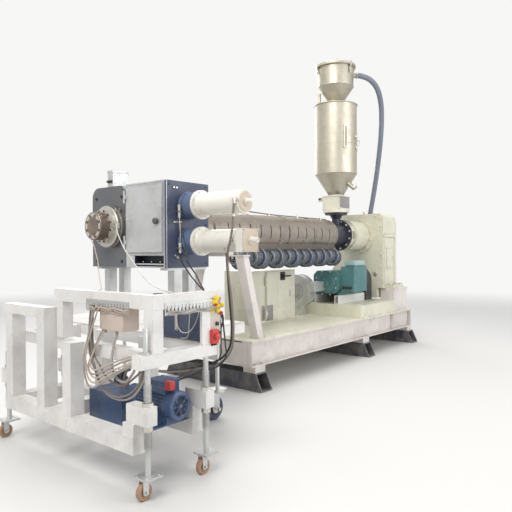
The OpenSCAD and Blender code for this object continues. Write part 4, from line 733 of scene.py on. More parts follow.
# The bundles on the near side of the cart: X of each cable, its radius and finish, then Y and Z
BUNDLE = {
    "cart_cable_1": (-2.255, 0.0060, "cable_beige",
        ((-1.132, .925), (-1.120, .881), (-1.076, .792), (-1.053, .706), (-1.097, .667),
         (-1.225, .710), (-1.388, .774), (-1.500, .806), (-1.552, .822))),
    "cart_cable_2": (-2.262, 0.0060, "cable_grey",
        ((-1.118, .925), (-1.104, .879), (-1.064, .779), (-1.041, .686), (-1.085, .641),
         (-1.214, .679), (-1.378, .750), (-1.490, .786), (-1.552, .805))),
    "cart_cable_3": (-2.270, 0.0055, "cable_beige",
        ((-1.085, 1.075), (-1.072, 1.036), (-1.034, .886), (-1.020, .743), (-1.053, .657),
         (-1.129, .624), (-1.288, .690), (-1.470, .757), (-1.552, .786))),
    "cart_cable_4": (-2.278, 0.0055, "cable_beige",
        ((-1.130, 1.075), (-1.112, 1.039), (-1.068, .909), (-1.033, .759), (-1.043, .638),
         (-1.119, .593), (-1.278, .660), (-1.465, .744), (-1.552, .772))),
    "cart_cable_5": (-2.286, 0.0060, "cable_grey",
        ((-1.095, 1.075), (-1.080, 1.038), (-1.047, .889), (-1.022, .726), (-1.043, .602),
         (-1.109, .561), (-1.248, .626), (-1.450, .725), (-1.552, .760))),
    "cart_cable_6": (-2.245, 0.0070, "cable_brown",
        ((-1.020, 1.075), (-1.012, .950), (-1.020, .830), (-1.050, .735),
         (-1.103, .654), (-1.178, .564), (-1.312, .530), (-1.450, .572),
         (-1.545, .655), (-1.575, .735))),
    "cart_cable_7": (-2.235, 0.0065, "cable_grey",
        ((-1.035, 1.075), (-1.028, .940), (-1.040, .800), (-1.070, .700),
         (-1.110, .615), (-1.215, .530), (-1.358, .518), (-1.475, .562),
         (-1.560, .655), (-1.590, .735))),
    "cart_cable_8": (-2.225, 0.0065, "cable_brown",
        ((-1.045, 1.075), (-1.035, .960), (-1.040, .850), (-1.060, .755),
         (-1.118, .697), (-1.223, .617), (-1.365, .608), (-1.482, .674),
         (-1.560, .735))),
}


TRAY_X = -2.2135                   # outer face of the side tray
GLAND_X = -2.1935                  # where the glands of the cart's box are


def cart_cables():
    """Each cable leaves the tray or a gland of the box, and moves out to its own X."""
    for name, (x, radius, mat, points) in BUNDLE.items():
        lean = 0.006 * math.sin(7 * x)
        start = TRAY_X - radius if points[0][1] > 1 else GLAND_X
        shares = [min(1, i / 3) for i in range(len(points))]
        route = [(start + (x - start) * share + lean * i, y, z)
                 for i, (share, (y, z)) in enumerate(zip(shares, points))]
        cord(name, route, radius, mat)


SENSOR_CABLE = [(-1.405, -0.182, 1.632), (-1.445, -0.222, 1.620), (-1.500, -0.330, 1.545),
                (-1.600, -0.547, 1.430), (-1.790, -0.900, 1.342), (-2.000, -1.240, 1.284),
                (-2.085, -1.440, 1.225), (-2.070, -1.545, 1.184), (-2.020, -1.578, 1.166)]
HUB_CABLE = [(-1.475, 0.090, 1.560), (-1.510, 0.080, 1.550), (-1.560, -0.033, 1.505),
             (-1.592, -0.115, 1.460), (-1.609, -0.165, 1.400), (-1.628, -0.215, 1.346),
             (-1.685, -0.310, 1.305), (-1.800, -0.480, 1.275), (-1.950, -0.720, 1.212),
             (-2.080, -0.925, 1.165), (-2.150, -1.000, 1.161)]
SWITCH_CABLES = [
    [(-1.214, -0.745, 1.420), (-1.212, -0.762, 1.400), (-1.212, -0.776, 1.354), (-1.240, -0.830, 1.312),
     (-1.320, -0.960, 1.271), (-1.420, -1.110, 1.231), (-1.530, -1.277, 1.197), (-1.650, -1.449, 1.168),
     (-1.745, -1.570, 1.163)],
    [(-1.200, -0.747, 1.645), (-1.199, -0.768, 1.592), (-1.200, -0.810, 1.485), (-1.215, -0.845, 1.400),
     (-1.250, -0.899, 1.323), (-1.420, -1.152, 1.255), (-1.580, -1.368, 1.196), (-1.720, -1.545, 1.166)],
]


def head_cables():
    """The thin cables of the outlet and the two of the switches on the plate."""
    cord("sensor_cable", SENSOR_CABLE, 0.0045, "white_cable")
    cord("hub_cable", HUB_CABLE, 0.0035, "cable_beige")
    for i, points in enumerate(SWITCH_CABLES, 1):
        cord(f"switch_cable_{i}", points, 0.0055, "cable_black")


# Cables that hang from the plugs at the cart's right corner, and the thin ones before the tank
PLUG_CABLES = [
    [(-1.655, -1.598, 1.020), (-1.622, -1.602, .960), (-1.612, -1.596, .870), (-1.610, -1.594, .790),
     (-1.610, -1.590, .720), (-1.640, -1.550, .650), (-1.740, -1.480, .605), (-1.820, -1.440, .585),
     (-1.888, -1.410, .570)],
    [(-1.648, -1.600, 1.030), (-1.610, -1.608, .970), (-1.590, -1.605, .880), (-1.572, -1.600, .790),
     (-1.560, -1.590, .700), (-1.590, -1.530, .630), (-1.700, -1.450, .590), (-1.820, -1.410, .570),
     (-1.888, -1.390, .555)],
    [(-1.646, -1.585, 1.030), (-1.602, -1.590, 1.010), (-1.560, -1.570, .950), (-1.530, -1.500, .850),
     (-1.520, -1.430, .740), (-1.570, -1.370, .640), (-1.700, -1.350, .580), (-1.820, -1.355, .560),
     (-1.888, -1.360, .545)],
]
THIN_CABLES = [
    [(-1.766, -1.338, 1.001), (-1.770, -1.337, .940), (-1.772, -1.376, .883), (-1.772, -1.439, .879),
     (-1.770, -1.492, .913), (-1.768, -1.535, .983), (-1.766, -1.545, 1.023)],
    [(-1.766, -1.460, 1.003), (-1.770, -1.457, .930), (-1.769, -1.450, .870), (-1.766, -1.425, .842),
     (-1.764, -1.370, .834)],
]


def plug_cables():
    """The cables that hang from the plugs, and the thin ones before the tank."""
    for i, points in enumerate(PLUG_CABLES, 1):
        cord(f"plug_cable_{i}", points, 0.0055, "cable_black")
    for i, points in enumerate(THIN_CABLES, 1):
        cord(f"thin_cable_{i}", points, 0.0030, "white_cable")


# Base and drive

def base_details():
    """Bolts, stiffeners and welds of the beams and the deck."""
    deck_z = box_of("deck_plate")[1].z
    low, high = box_of("side_beams")
    flange = 0.0145
    foot_y, web_y, edge_y = 0.598, 0.566, 0.618
    bolts("beam_foot_bolts", [(x + dx, side * foot_y, low.z + 0.014) for x in CROSS_TUBE_X
                              for side in SIDES for dx in (-0.055, 0.055)], UP, 0.012)
    with Piece("beam_stiffeners", "frame_white", smooth=30) as p:
        for x in (-0.125, 3.12, 3.715):
            for side in SIDES:
                p.box((x - 0.005, side * web_y, low.z + flange),
                      (x + 0.005, side * edge_y, high.z - flange), 0.0015)
    bolts("deck_bolts", [(x, side * 0.61, deck_z) for x in (2.10, 2.20, 2.4, 2.7, 3.0)
                         for side in SIDES], UP, 0.009)
    with Piece("deck_welds", "frame_white", smooth=60) as p:
        for side in SIDES:
            y = side * (edge_y + 0.006)
            p.weld((low.x, y, high.z), (high.x, y, high.z))
            end = (low.x - 0.002, side * 0.495)
            p.weld((*end, low.z + flange), (*end, high.z - flange))


def platform_details():
    """The drain holes and the welds of the drive platform."""
    low, high = box_of("drive_platform")
    drain = [(0, 0.016), (0.005, 0.016), (0.006, 0.010), (0.003, 0.008), (0.003, 0)]
    with Piece("platform_welds", "machine_cream", smooth=60) as p:
        for side, y in zip(SIDES, (low.y, high.y)):
            p.weld((low.x, y + side * 0.001, low.z), (high.x, y + side * 0.001, low.z))
            for x in (2.5, 3.0):
                p.lathe((x, y + side * -0.002, 0.57), (0, side, 0), drain, 20)
        p.weld((low.x - 0.001, low.y, low.z), (low.x - 0.001, high.y, low.z))


def gearbox_side(side, word):
    """The inspection cover and the ribs of one side face."""
    x0 = box_of("gearbox_housing")[0].x
    y, x, z = side * 0.425, x0 + 0.10, 1.14
    box_piece(f"gearbox_hatch_{word}", (x, y - side * 0.002, z), (x + 0.22, y + side * 0.014, z + 0.32),
              0.004, "machine_cream")
    places = [(x + dx, y + side * 0.013, z + dz) for dx in (0.018, 0.11, 0.202)
              for dz in (0.02, 0.16, 0.30) if (dx, dz) != (0.11, 0.16)]
    bolts(f"gearbox_hatch_bolts_{word}", places, (0, side, 0), 0.008)
    with Piece(f"gearbox_ribs_{word}", "machine_cream") as p:
        for x in (x0 + 0.035, x0 + 0.375):
            p.box((x - 0.012, y - side * 0.002, 0.90), (x + 0.012, y + side * 0.018, 1.62), 0.003)


def gearbox_details():
    """Bolts, plugs and oil glass of the gearbox, the thrust housing and the throat."""
    low, high = box_of("gearbox_housing")
    x0 = low.x
    bolts("gearbox_front_bolts",
          [(x0, side * 0.385, z) for z in (1.0, 1.18, 1.36, 1.50, 1.78, 1.90) for side in SIDES]
          + [(x0, y, 1.935) for y in (-0.30, -0.15, 0.15, 0.30)], OUT, 0.014, "machine_cream")
    with Piece("gearbox_split_bolts", smooth=30) as p:
        for x in (x0 + 0.06, x0 + 0.16, x0 + 0.26, x0 + 0.36):
            for side in SIDES:
                p.bolt((x, side * 0.434, AXIS_Z + 0.018), UP, 0.013)
                p.lathe((x, side * 0.434, AXIS_Z - 0.018), -UP,
                        turned((0.014, 0.013), tip=0.010, start=-0.002), 6)
    gearbox_side(-1, "near")
    gearbox_side(1, "far")
    studs("lifting_plugs", [(x, y, high.z - 0.002) for y in (-0.24, 0.24)
                            for x in (x0 + 0.08, x0 + 0.34)], UP, turned((0.012, 0.022), tip=0.014), 20)
    bolts("thrust_flange_bolts", ring_points((3.13, 0, AXIS_Z), OUT, 0.245, 12, 15), OUT, 0.016,
          "machine_cream")
    bolts("thrust_front_bolts", ring_points((2.79, 0, AXIS_Z), X, 0.2105, 12, 15), X, 0.010)
    bolts("throat_rear_bolts", ring_points((2.57, 0, AXIS_Z), OUT, 0.198, 12, 15), OUT, 0.012)
    bolts("throat_top_bolts", ring_points((HOPPER_X, 0, 1.962), UP, 0.17, 8, 22), UP, 0.008)
    bolts("pedestal_bolts", [(x, side * y, 0.895) for x in (3.30, 3.54) for side in SIDES
                             for y in (0.46, 0.52)], UP, 0.014)
    glass = Vector((x0 - 0.002, -0.30, 1.06))
    lathe_piece("oil_glass_ring", glass, OUT, turned((0.014, 0.032), tip=0.027, lip=0.004), 28)
    lathe_piece("oil_glass", glass + OUT * 0.014, OUT, turned((0.004, 0.020), tip=0.017, lip=0.0015),
                24, "acrylic")


MOTOR_Z = 0.96


def gearbox_rear_details():
    """Bolts round the rear cover, its breather and the drain plug."""
    cover_x = box_of("gearbox_cover")[1].x
    housing = box_of("gearbox_housing")[1]
    x = housing.x + 0.024
    bolts("rear_cover_bolts",
          [(x, side * 0.391, z) for z in (1.0, 1.2, 1.4, 1.6, 1.78) for side in SIDES]
          + [(x, y, 1.936) for y in (-0.26, -0.13, 0, 0.13, 0.26)], X, 0.007, washer=False)
    with Piece("gearbox_breather") as p:
        p.lathe((3.40, 0, housing.z - 0.002), UP,
                [(0, 0.018), (0.03, 0.018), (0.03, 0.030), (0.062, 0.030), (0.070, 0.022), (0.072, 0)], 28)
        p.lathe((cover_x - 0.002, 0.10, 1.02), X, turned((0.010, 0.024), (0.020, 0.018)), 20)
    lathe_piece("input_seal", (3.172, 0, MOTOR_Z), OUT,
                [(0, 0.105), (0.012, 0.105), (0.016, 0.098), (0.016, 0.048), (0.022, 0.046)], 40,
                "machine_cream")


def motor_details():
    """Front cap, bolts, glands, boxes and lifting eyes of the drive motor."""
    x = box_of("drive_motor")[0].x
    lathe_piece("motor_front_cap", (x + 0.002, 0, MOTOR_Z), OUT,
                [(0, 0.150), (0.012, 0.150), (0.020, 0.142), (0.020, 0.060), (0.045, 0.055),
                 (0.048, 0.045), (0.048, 0)], 40, "motor_teal")
    bolts("motor_front_bolts", ring_points((x, 0, MOTOR_Z), OUT, 0.172, 8, 22), OUT, 0.009)
    bolts("motor_foot_bolts", [(x, side * 0.21, 0.842) for side in SIDES for x in (2.34, 2.86)],
          UP, 0.009)
    lid_y = box_of("motor_terminal_box")[0].y
    bolts("terminal_screws", [(x, lid_y, z) for x in (2.325, 2.645) for z in (0.865, 1.02, 1.175)],
          NEAR, 0.006, washer=False)
    studs("cable_glands", [(2.312, -0.36 + i * 0.055, 0.90) for i in range(3)], OUT,
          turned((0.02, 0.020), (0.04, 0.015), tip=0.010, lip=0.004), 18, "handle_black")
    box_piece("motor_top_box", (2.375, -0.398, 1.205), (2.65, -0.228, 1.274), 0.006, "pale_teal")
    box_piece("terminal_side", (2.640, -0.395, 0.868), (2.650, -0.225, 1.182), 0.002, "guard_grey",
              "motor_teal")
    with Piece("motor_eyes", smooth=60) as p:
        for x in (2.46, 2.74):
            p.ring((x, 0, 1.146), Y, 0.022, 0.006, 24, 8)
            p.lathe((x, 0, 1.128), UP, turned((0.006, 0.020), tip=0.012), 16)
    guard_slots()


def guard_slots():
    """The slots pressed into the sides of the coupling guard, as black boxes that paint the shade inside
    them.
    """
    rows, columns, pitch_z, pitch_x = 6, 3, 0.034, 0.045
    # Painted shade: each slot is a thin black box on the guard's side
    with Piece("guard_slot_shade", "black_bolt", "blower_grey") as p:
        for side in SIDES:
            for i in range(rows):
                for j in range(columns):
                    x, z = 3.01 + j * pitch_x, 0.74 + i * pitch_z
                    p.box((x, side * 0.2345, z), (x + 0.034, side * 0.2362, z + 0.016))


COOLER = Vector((1.94, 0.305, 0.85))


def cooler_details():
    """The guard rings and the inlet grille of the big cooling blower."""
    with Piece("cooler_rings", "enclosure_silver", "galvanised", smooth=60) as p:
        for r in (0.222, 0.19, 0.158, 0.126):
            p.ring(COOLER - X * 0.001, OUT, r, 0.0035)
    with Piece("cooler_grille", smooth=60) as p:
        for r in (0.112, 0.088, 0.064, 0.040):
            p.ring(COOLER - X * 0.021, OUT, r, 0.0025)
        for a in (0, 60, 120):
            spoke = across(math.radians(a)) * 0.112
            middle = COOLER - X * 0.021
            p.tube([middle - spoke, middle, middle + spoke], 0.0025, 8)


BLOWER_COUNT = 7
BLOWER_START = 0.16
BLOWER_PITCH = 0.32
BLOWER_Y, BLOWER_Z = -0.12, 1.345
BLOWER_RIBS = 14


def blower_details():
    """Hub caps, dark discs of painted shade in the inlets, cooling ribs, inlet rings, fan blades and bolts
    of the seven blowers.
    """
    centres = [Vector((BLOWER_START + BLOWER_PITCH * i, BLOWER_Y, BLOWER_Z)) for i in range(BLOWER_COUNT)]
    studs("blower_hubs", [c - X * 0.010 for c in centres], OUT,
          [(0, 0.016), (0.006, 0.016), (0.010, 0.010), (0.011, 0)], 20)
    # Painted shade: a near-black disc on each blower face, round the hub
    studs("blower_inlet_shade", [c + X * 0.001 for c in centres], OUT,
          [(0, 0.062), (0.0015, 0.062), (0.0015, 0.015)], 40, "painted_shade_and_seams", "blower_grey")
    with Piece("blower_ribs", "blower_grey") as p:
        for c in centres:
            for a in angles(BLOWER_RIBS):
                d = across(a)
                at = Matrix.Translation(c + X * 0.056 + d * 0.0865)
                p.cube(at @ turn(X, Vector((0, -math.sin(a), math.cos(a))), d), (0.078, 0.006, 0.007))
    with Piece("blower_face_rings", "galvanised", smooth=60) as p:
        for c in centres:
            p.ring(c - X * 0.0005, OUT, 0.078, 0.0035, 56)
            p.ring(c - X * 0.0005, OUT, 0.060, 0.003)
            p.ring(c - X * 0.0005, OUT, 0.036, 0.0025)
            p.ring(c + X * 0.113, OUT, 0.112, 0.0028, 56)
    with Piece("blower_fans") as p:
        for c in centres:
            for blade in ring_points(c + X * 0.159, X, 0.05, 8):
                p.box(blade - Vector((0, 0.002, 0.010)), blade + Vector((0.030, 0.002, 0.010)), 0.0008)
    places = [spot for c in centres for spot in ring_points(c + X * 0.113, OUT, 0.0965, 6, 20)
              if spot.z < 1.415]
    bolts("blower_bolts", places, OUT, 0.006, washer=False)


def barrel_support_details():
    """Foot bolts and head bolts of the leaning legs."""
    with Piece("support_bolts", smooth=30) as p:
        for side in SIDES:
            for x in (0.036, 0.134):
                p.bolt((x, side * 0.577, 0.526), UP, 0.008)
                p.bolt((x, side * 0.250, 1.39), UP, 0.007, False)


# Barrel, hopper and loader

SHROUD_R = 0.205
HOPPER_R = 0.300


def shroud_details():
    """Dark skins of the plenum that paint the shade under the shroud, bands and rivets of the shroud, and
    what sits on it.
    """
    # Painted shade: dark skins on both sides of the plenum, under the shroud
    with Piece("plenum_shade_skins", "plenum_painted_shade") as p:
        for side in SIDES:
            p.box((0.149, side * 0.149, 1.431), (2.229, side * 0.152, 1.499), 0.001)
    bands = (-0.205, 0.47, 1.12, 1.70, 2.215)
    studs("shroud_bands", [(x, 0, AXIS_Z) for x in bands], X,
          collar(SHROUD_R + 0.0005, SHROUD_R + 0.004, 0.024), 64, "shroud_steel", None, MAIN, 40)
    with Piece("shroud_rivets") as p:
        for x in (band + 0.012 for band in bands):
            for a in (-60, -20, 20, 60, 120, 160, 200, 240):
                d = across(math.radians(a))
                p.lathe(Vector((x, 0, AXIS_Z)) + d * (SHROUD_R + 0.003), d,
                        [(0, 0.006), (0.003, 0.005), (0.004, 0)], 10)
    shroud_latches()
    shroud_wiring()


def shroud_latches():
    """Toggle latches along the near side."""
    d = -across(math.radians(38))
    with Piece("shroud_latches") as p:
        for x in (-0.55, -0.05, 0.35, 0.95, 1.45, 2.05):
            reach = 0.2 if x < -0.2 else 0.2085
            at = Matrix.Translation(Vector((x, 0, AXIS_Z)) + d * reach) @ turn(X, X.cross(d), d)
            p.cube(at, (0.030, 0.075, 0.012), 0.002)
            p.cube(at @ Matrix.Translation((0, -0.03, 0.008)), (0.022, 0.030, 0.010), 0.002)


def shroud_wiring():
    """The conduit that lies along the top of the shroud, and its sockets."""
    top = [(-0.25, -0.06, 1.832), (-0.10, -0.05, 1.872), (0.2, -0.04, 1.884), (0.6, -0.03, 1.872),
           (1.0, -0.03, 1.858), (1.5, -0.03, 1.855), (2.1, -0.03, 1.853), (2.2, -0.03, 1.852)]
    with Piece("thermocouple_conduit", "cable_brown", "galvanised", smooth=60) as p:
        p.tube(smooth_route(top), 0.0075, 10)
    studs("thermocouple_sockets", [(x, -0.03, AXIS_Z + 0.2) for x in (0.3, 0.9, 1.5, 2.05)], UP,
          turned((0.014, 0.018), (0.040, 0.011), tip=0.008), 16)


def hopper_rings():
    """Weld beads and rolled rims of the hopper and the loader."""
    c = Vector((HOPPER_X, 0, 0))
    with Piece("hopper_beads", "hopper_steel", smooth=60) as p:
        for z in (3.5, 2.94, 2.52):
            p.ring(c + Z * (z - 0.004), UP, HOPPER_R - 0.001, 0.004, 72)
    with Piece("hopper_rims", "hopper_steel", smooth=60) as p:
        for z, radius, wire in ((3.504, 0.306, 0.007), (4.052, 0.283, 0.006), (3.772, 0.254, 0.004)):
            p.ring(c + Z * z, UP, radius, wire, 72)


def sight_strip():
    """The tall sight strip in its frame."""
    d = Vector((-0.54, -0.84, 0)).normalized()
    at = Matrix.Translation(Vector((HOPPER_X, 0, 3.015)) + d * HOPPER_R) @ facing(d)
    with Piece("sight_frame") as p:
        for dx in (-0.024, 0.024):
            p.cube(at @ Matrix.Translation((dx, 0, 0.004)), (0.008, 0.30, 0.014))
        for dy in (-0.15, 0.15):
            p.cube(at @ Matrix.Translation((0, dy, 0.006)), (0.066, 0.018, 0.018), 0.003)
    with Piece("sight_strip", "acrylic") as p:
        p.cube(at @ Matrix.Translation((0, 0, 0.001)), (0.040, 0.282, 0.010))


def clean_out_door():
    """The curved clean-out door with its hinge blocks and handle."""
    c = Vector((HOPPER_X, 0, 0))
    d = Vector((0.51, -0.86, 0)).normalized()
    t = Z.cross(d)
    columns, half, low, high = 9, math.radians(21), 2.845, 3.065
    inner, outer = [], []
    with Piece("clean_out_door", "hopper_steel") as p:
        vert, face = p.bm.verts.new, p.bm.faces.new
        for k in range(columns):
            a = -half + 2 * half * k / (columns - 1)
            n = d * math.cos(a) + t * math.sin(a)
            inner.append([vert(c + n * (HOPPER_R - 0.0005) + Z * z) for z in (low, high)])
            outer.append([vert(c + n * (HOPPER_R + 0.0055) + Z * z) for z in (low, high)])
        for k in range(columns - 1):
            face([outer[k][0], outer[k + 1][0], outer[k + 1][1], outer[k][1]])
            face([inner[k][0], outer[k][0], outer[k + 1][0], inner[k + 1][0]][::-1])
            face([inner[k][1], outer[k][1], outer[k + 1][1], inner[k + 1][1]])
        for k in (0, columns - 1):
            face([inner[k][0], outer[k][0], outer[k][1], inner[k][1]])
    with Piece("clean_out_fittings") as p:
        for z in (2.88, 3.03):
            for a in (0.37, -0.37):
                spot = c + (d * math.cos(a) + t * math.sin(a)) * 0.309 + Z * z
                p.cube(Matrix.Translation(spot) @ facing(d), (0.030, 0.034, 0.020), 0.004)
        grip = [c + t * -0.03 + d * reach + Z * z for reach, z in
                ((0.303, 2.92), (0.335, 2.925), (0.335, 2.985), (0.303, 2.99))]
        p.tube(smooth_route(grip, 4), 0.006, 10)


def lid_clamps():
    """Over-centre clamps round the lid of the loader."""
    with Piece("lid_clamps") as p:
        for a in (140, 20, -100, -40):
            d = level(math.radians(a))
            at = Matrix.Translation(Vector((HOPPER_X, 0, 4.0)) + d * 0.272) @ facing(d)
            p.cube(at, (0.034, 0.075, 0.024), 0.003)
            p.cube(at @ Matrix.Translation((0, 0.062, 0.014)), (0.024, 0.075, 0.010), 0.002)
            p.cube(at @ Matrix.Translation((0, -0.05, 0.012)), (0.020, 0.050, 0.008), 0.002)


def gate_details():
    """The bolted flanges of the gate box, and the cap of the drain valve."""
    high = box_of("slide_gate")[1]
    half, edge = 0.140, 0.152
    box_piece("gate_cover", (HOPPER_X - 0.132, -half - 0.0035, 2.030),
              (HOPPER_X + 0.137, -half + 0.001, 2.188), 0.0015, "sheet_grey")
    with Piece("gate_flanges", "cylinder_white") as p:
        for z in (2.012, 2.192):
            p.box((HOPPER_X - edge, -edge, z), (HOPPER_X + edge, edge, z + 0.013), 0.002)
    bolts("gate_bolts", [(HOPPER_X + x, y, z) for x in (-0.12, 0, 0.12) for y in (-0.128, 0.128)
                         for z in (2.205, 2.025)], UP, 0.008)
    lathe_piece("gate_knob", (HOPPER_X, high.y - 0.048, 2.172), Y,
                [(0, 0.020), (0.004, 0.026), (0.044, 0.026), (0.050, 0.020), (0.050, 0)], 28,
                "handle_black")
    drain = Vector((HOPPER_X, -0.2125, 2.3885))
    down = Vector((0, -math.sin(math.radians(50)), -math.cos(math.radians(50))))
    with Piece("drain_cap") as p:
        p.lathe(drain + down * 0.118, down,
                [(0, 0.0305), (0, 0.037), (0.012, 0.037), (0.014, 0.033), (0.020, 0.033),
                 (0.022, 0.026), (0.022, 0)], 32)
        p.box(drain + down * 0.10 + Vector((0.028, -0.02, -0.006)),
              drain + down * 0.10 + Vector((0.060, 0.02, 0.006)), 0.002)


# Head: cylinders, plate, enclosure, changer and outlet

FLANGE_Y = -0.906                  # near face of the cylinder flanges
BODY_END_Y = -1.361
CAP_FACE_Y = -1.421
BODY_R = 0.091


def cylinder_details():
    """Flange screws, rings and seams of the two cylinders and their mounts."""
    heights = (LOWER_Z, UPPER_Z)
    screws("flange_screws", [spot for z in heights for spot in
                             ring_points((CYLINDER_X, FLANGE_Y, z), NEAR, 0.105, 8, 22.5)],
           NEAR, 0.0085, 0.7, "cylinder_white")
    with Piece("cylinder_rings", "cylinder_white") as p:
        for z in heights:
            p.lathe((CYLINDER_X, FLANGE_Y + 0.001, z), NEAR,
                    [(0, 0.097), (0.014, 0.097), (0.020, 0.0925), (0.020, BODY_R - 0.001)], 56)
            p.lathe((CYLINDER_X, BODY_END_Y + 0.030, z), NEAR,
                    [(0, BODY_R - 0.001), (0.002, BODY_R + 0.0025), (0.026, BODY_R + 0.0025),
                     (0.030, BODY_R - 0.001)], 56)
        p.lathe((CYLINDER_X, BODY_END_Y, UPPER_Z), NEAR,
                [(0, 0.0925), (0.001, 0.0925), (0.002, 0.091), (0.002, 0.0785)], 56)
    with Piece("mount_seams", "painted_shade_and_seams", smooth=60) as p:
        for z in heights:
            p.ring((CYLINDER_X, FLANGE_Y + 0.0265, z), NEAR, 0.1145, 0.003, 64)
            p.ring((CYLINDER_X, -0.765, z), NEAR, 0.1095, 0.0028, 64)
    studs("mount_bases", [(CYLINDER_X, -0.736, z) for z in heights], NEAR,
          [(0, 0.1175), (0.016, 0.1175), (0.020, 0.1135), (0.020, 0.109)], 64, "mount_blue")
    cylinder_caps()
    cylinder_fittings()


def cylinder_caps():
    """Unpainted end faces and their screws."""
    with Piece("cap_faces", "cap_tan") as p:
        p.lathe((CYLINDER_X, BODY_END_Y - 0.0115, UPPER_Z), NEAR,
                [(0, 0.0792), (0.002, 0.0792), (0.004, 0.0765), (0.004, 0.040), (0.010, 0.036),
                 (0.010, 0)], 56)
        p.box((-1.186, CAP_FACE_Y - 0.005, LOWER_Z - 0.090), (-1.006, CAP_FACE_Y + 0.001, LOWER_Z + 0.090),
              0.004)
    screws("cap_screws", [(CYLINDER_X + dx, CAP_FACE_Y - 0.0045, LOWER_Z + dz)
                          for dx in (-0.086, 0.080) for dz in (-0.077, 0.077)], NEAR, 0.009, 0.8)


def cylinder_fittings():
    """Stems, ports and hose ends of the two cylinders."""
    with Piece("cylinder_stems", "cylinder_white") as p:
        p.lathe((CYLINDER_X, BODY_END_Y - 0.010, UPPER_Z), NEAR, turned((0.016, 0.030), tip=0.024), 6)
        p.lathe((CYLINDER_X, -1.4205, UPPER_Z), NEAR,
                turned((0.004, 0.0215), (0.022, 0.017), tip=0.012, start=-0.02), 24)
        p.lathe((CYLINDER_X, CAP_FACE_Y, LOWER_Z), NEAR, turned((0.018, 0.034), tip=0.028), 6)
        p.lathe((CYLINDER_X, -1.4805, LOWER_Z), NEAR,
                [(-0.012, 0.0235), (0, 0.0235), (0.002, 0.020), (0.012, 0.020), (0.012, 0.012),
                 (0.006, 0.011), (0.006, 0)], 28)
    with Piece("hose_fittings") as p:
        p.lathe((-1.165, -1.352, 1.806), OUT,
                [(0, 0.020), (0.014, 0.020), (0.016, 0.015), (0.030, 0.015), (0.031, 0.010),
                 (0.036, 0.010), (0.036, 0)], 6)
        p.box((-1.215, -1.364, 1.792), (-1.191, -1.340, 1.820), 0.004)
        p.lathe((-1.203, -1.352, 1.796), -UP, [(0, 0.0125), (0.016, 0.0125), (0.018, 0.0100)], 6)
        p.lathe((-1.150, -1.226, 1.438), -UP, turned((0.016, 0.019), (0.034, 0.014)), 6)
        p.lathe((CYLINDER_X - BODY_R + 0.004, -1.318, LOWER_Z + 0.004), OUT,
                turned((0.010, 0.015), (0.026, 0.010), tip=0.006), 6)
    lathe_piece("hose_clamp", (-1.205, -1.346, 1.700), -UP, collar(0.0105, 0.0125, 0.021, 0.001), 20)


def plate_details():
    """Screws of the slate plate, and the switch rods clamped on its face."""
    low, high = box_of("cylinder_plate")
    y = low.y
    face = y + 0.001
    screws("plate_screws", [(x, y, z) for x in (low.x + 0.03, high.x - 0.03)
                            for z in (low.z + 0.03, high.z - 0.03, 1.645)], NEAR, 0.011, 0.5, "slate_navy")
    with Piece("plate_studs") as p:
        for x in (-1.252, -1.221):
            p.lathe((x, face, 1.942), NEAR, turned((0.008, 0.011), tip=0.008), 20)
        p.lathe((-1.221, face, 1.371), NEAR, turned((0.010, 0.013), tip=0.009), 6)
        p.lathe((-1.246, face, 1.384), NEAR, turned((0.012, 0.008)), 16)
    with Piece("switch_rods", "white_cable") as p:
        for x, z0, z1 in ((-1.217, 1.690, 1.800), (-1.210, 1.400, 1.486)):
            p.lathe((x, -0.762, z0), UP, [(0, 0.006), (0.012, 0.011), (z1 - z0 - 0.020, 0.011),
                                          (z1 - z0 - 0.012, 0.014), (z1 - z0, 0.014), (z1 - z0, 0)], 20)
    with Piece("switch_clamps", smooth=60) as p:
        for z in (1.745, 1.659, 1.445):
            p.box((-1.232, -0.775, z - 0.006), (-1.200, face, z + 0.006), 0.0015)
        p.box((-1.262, -0.748, 1.652), (-1.228, face, 1.666), 0.0015)
        p.tube(smooth_route([(-1.217, -0.762, 1.692), (-1.214, -0.764, 1.64), (-1.208, -0.764, 1.56),
                             (-1.210, -0.762, 1.484)]), 0.004, 8)
    box_piece("plate_edge", (low.x - 0.001, y - 0.001, low.z), (low.x + 0.004, y + 0.004, high.z), 0.001,
              "enclosure_silver")


def enclosure_details():
    """The folded lid of the head enclosure and its screws."""
    x0, z1 = -1.330, 2.000
    near, far = -0.711, -0.205
    with Piece("enclosure_lid", "enclosure_silver") as p:
        p.box((x0 - 0.004, near + 0.002, z1 - 0.012), (-0.850, far - 0.001, z1 + 0.002), 0.002)
        p.box((x0 - 0.0035, near + 0.002, 1.384), (x0 + 0.001, far, 1.398), 0.001)
    screws("lid_screws", [(x, y, z1 + 0.001) for y in (near + 0.03, -0.46, far - 0.03)
                          for x in (x0 + 0.04, -0.89)], UP, 0.007, 0.6)
    recess_painted_shade()
    head_door_details()


def recess_painted_shade():
    """Dark thin plates inside the opening under the head door: painted shade of the recess."""
    x0, x1 = -1.329, -1.241
    y0, y1 = -0.698, -0.321
    z0, z1 = 1.2935, 1.3805
    t = 0.002
    # Painted shade: near-black plates on the back and the sides of the recess
    with Piece("recess_painted_shade", "painted_shade_and_seams") as p:
        p.box((x1 - t, y0, z0), (x1, y1, z1))
        p.box((x0, y0, z0), (x1 - t, y0 + t, z1))
        p.box((x0, y1 - t, z0), (x1 - t, y1, z1))
        p.box((x0, y0 + t, z1 - t), (x1 - t, y1 - t, z1))
        p.box((x0, y0 + t, z0), (x1 - t, y1 - t, z0 + t))
    screws("recess_screws", [(x0 + 0.028, y, 1.330) for y in (-0.62, -0.51, -0.40)], OUT, 0.006, 0.6)


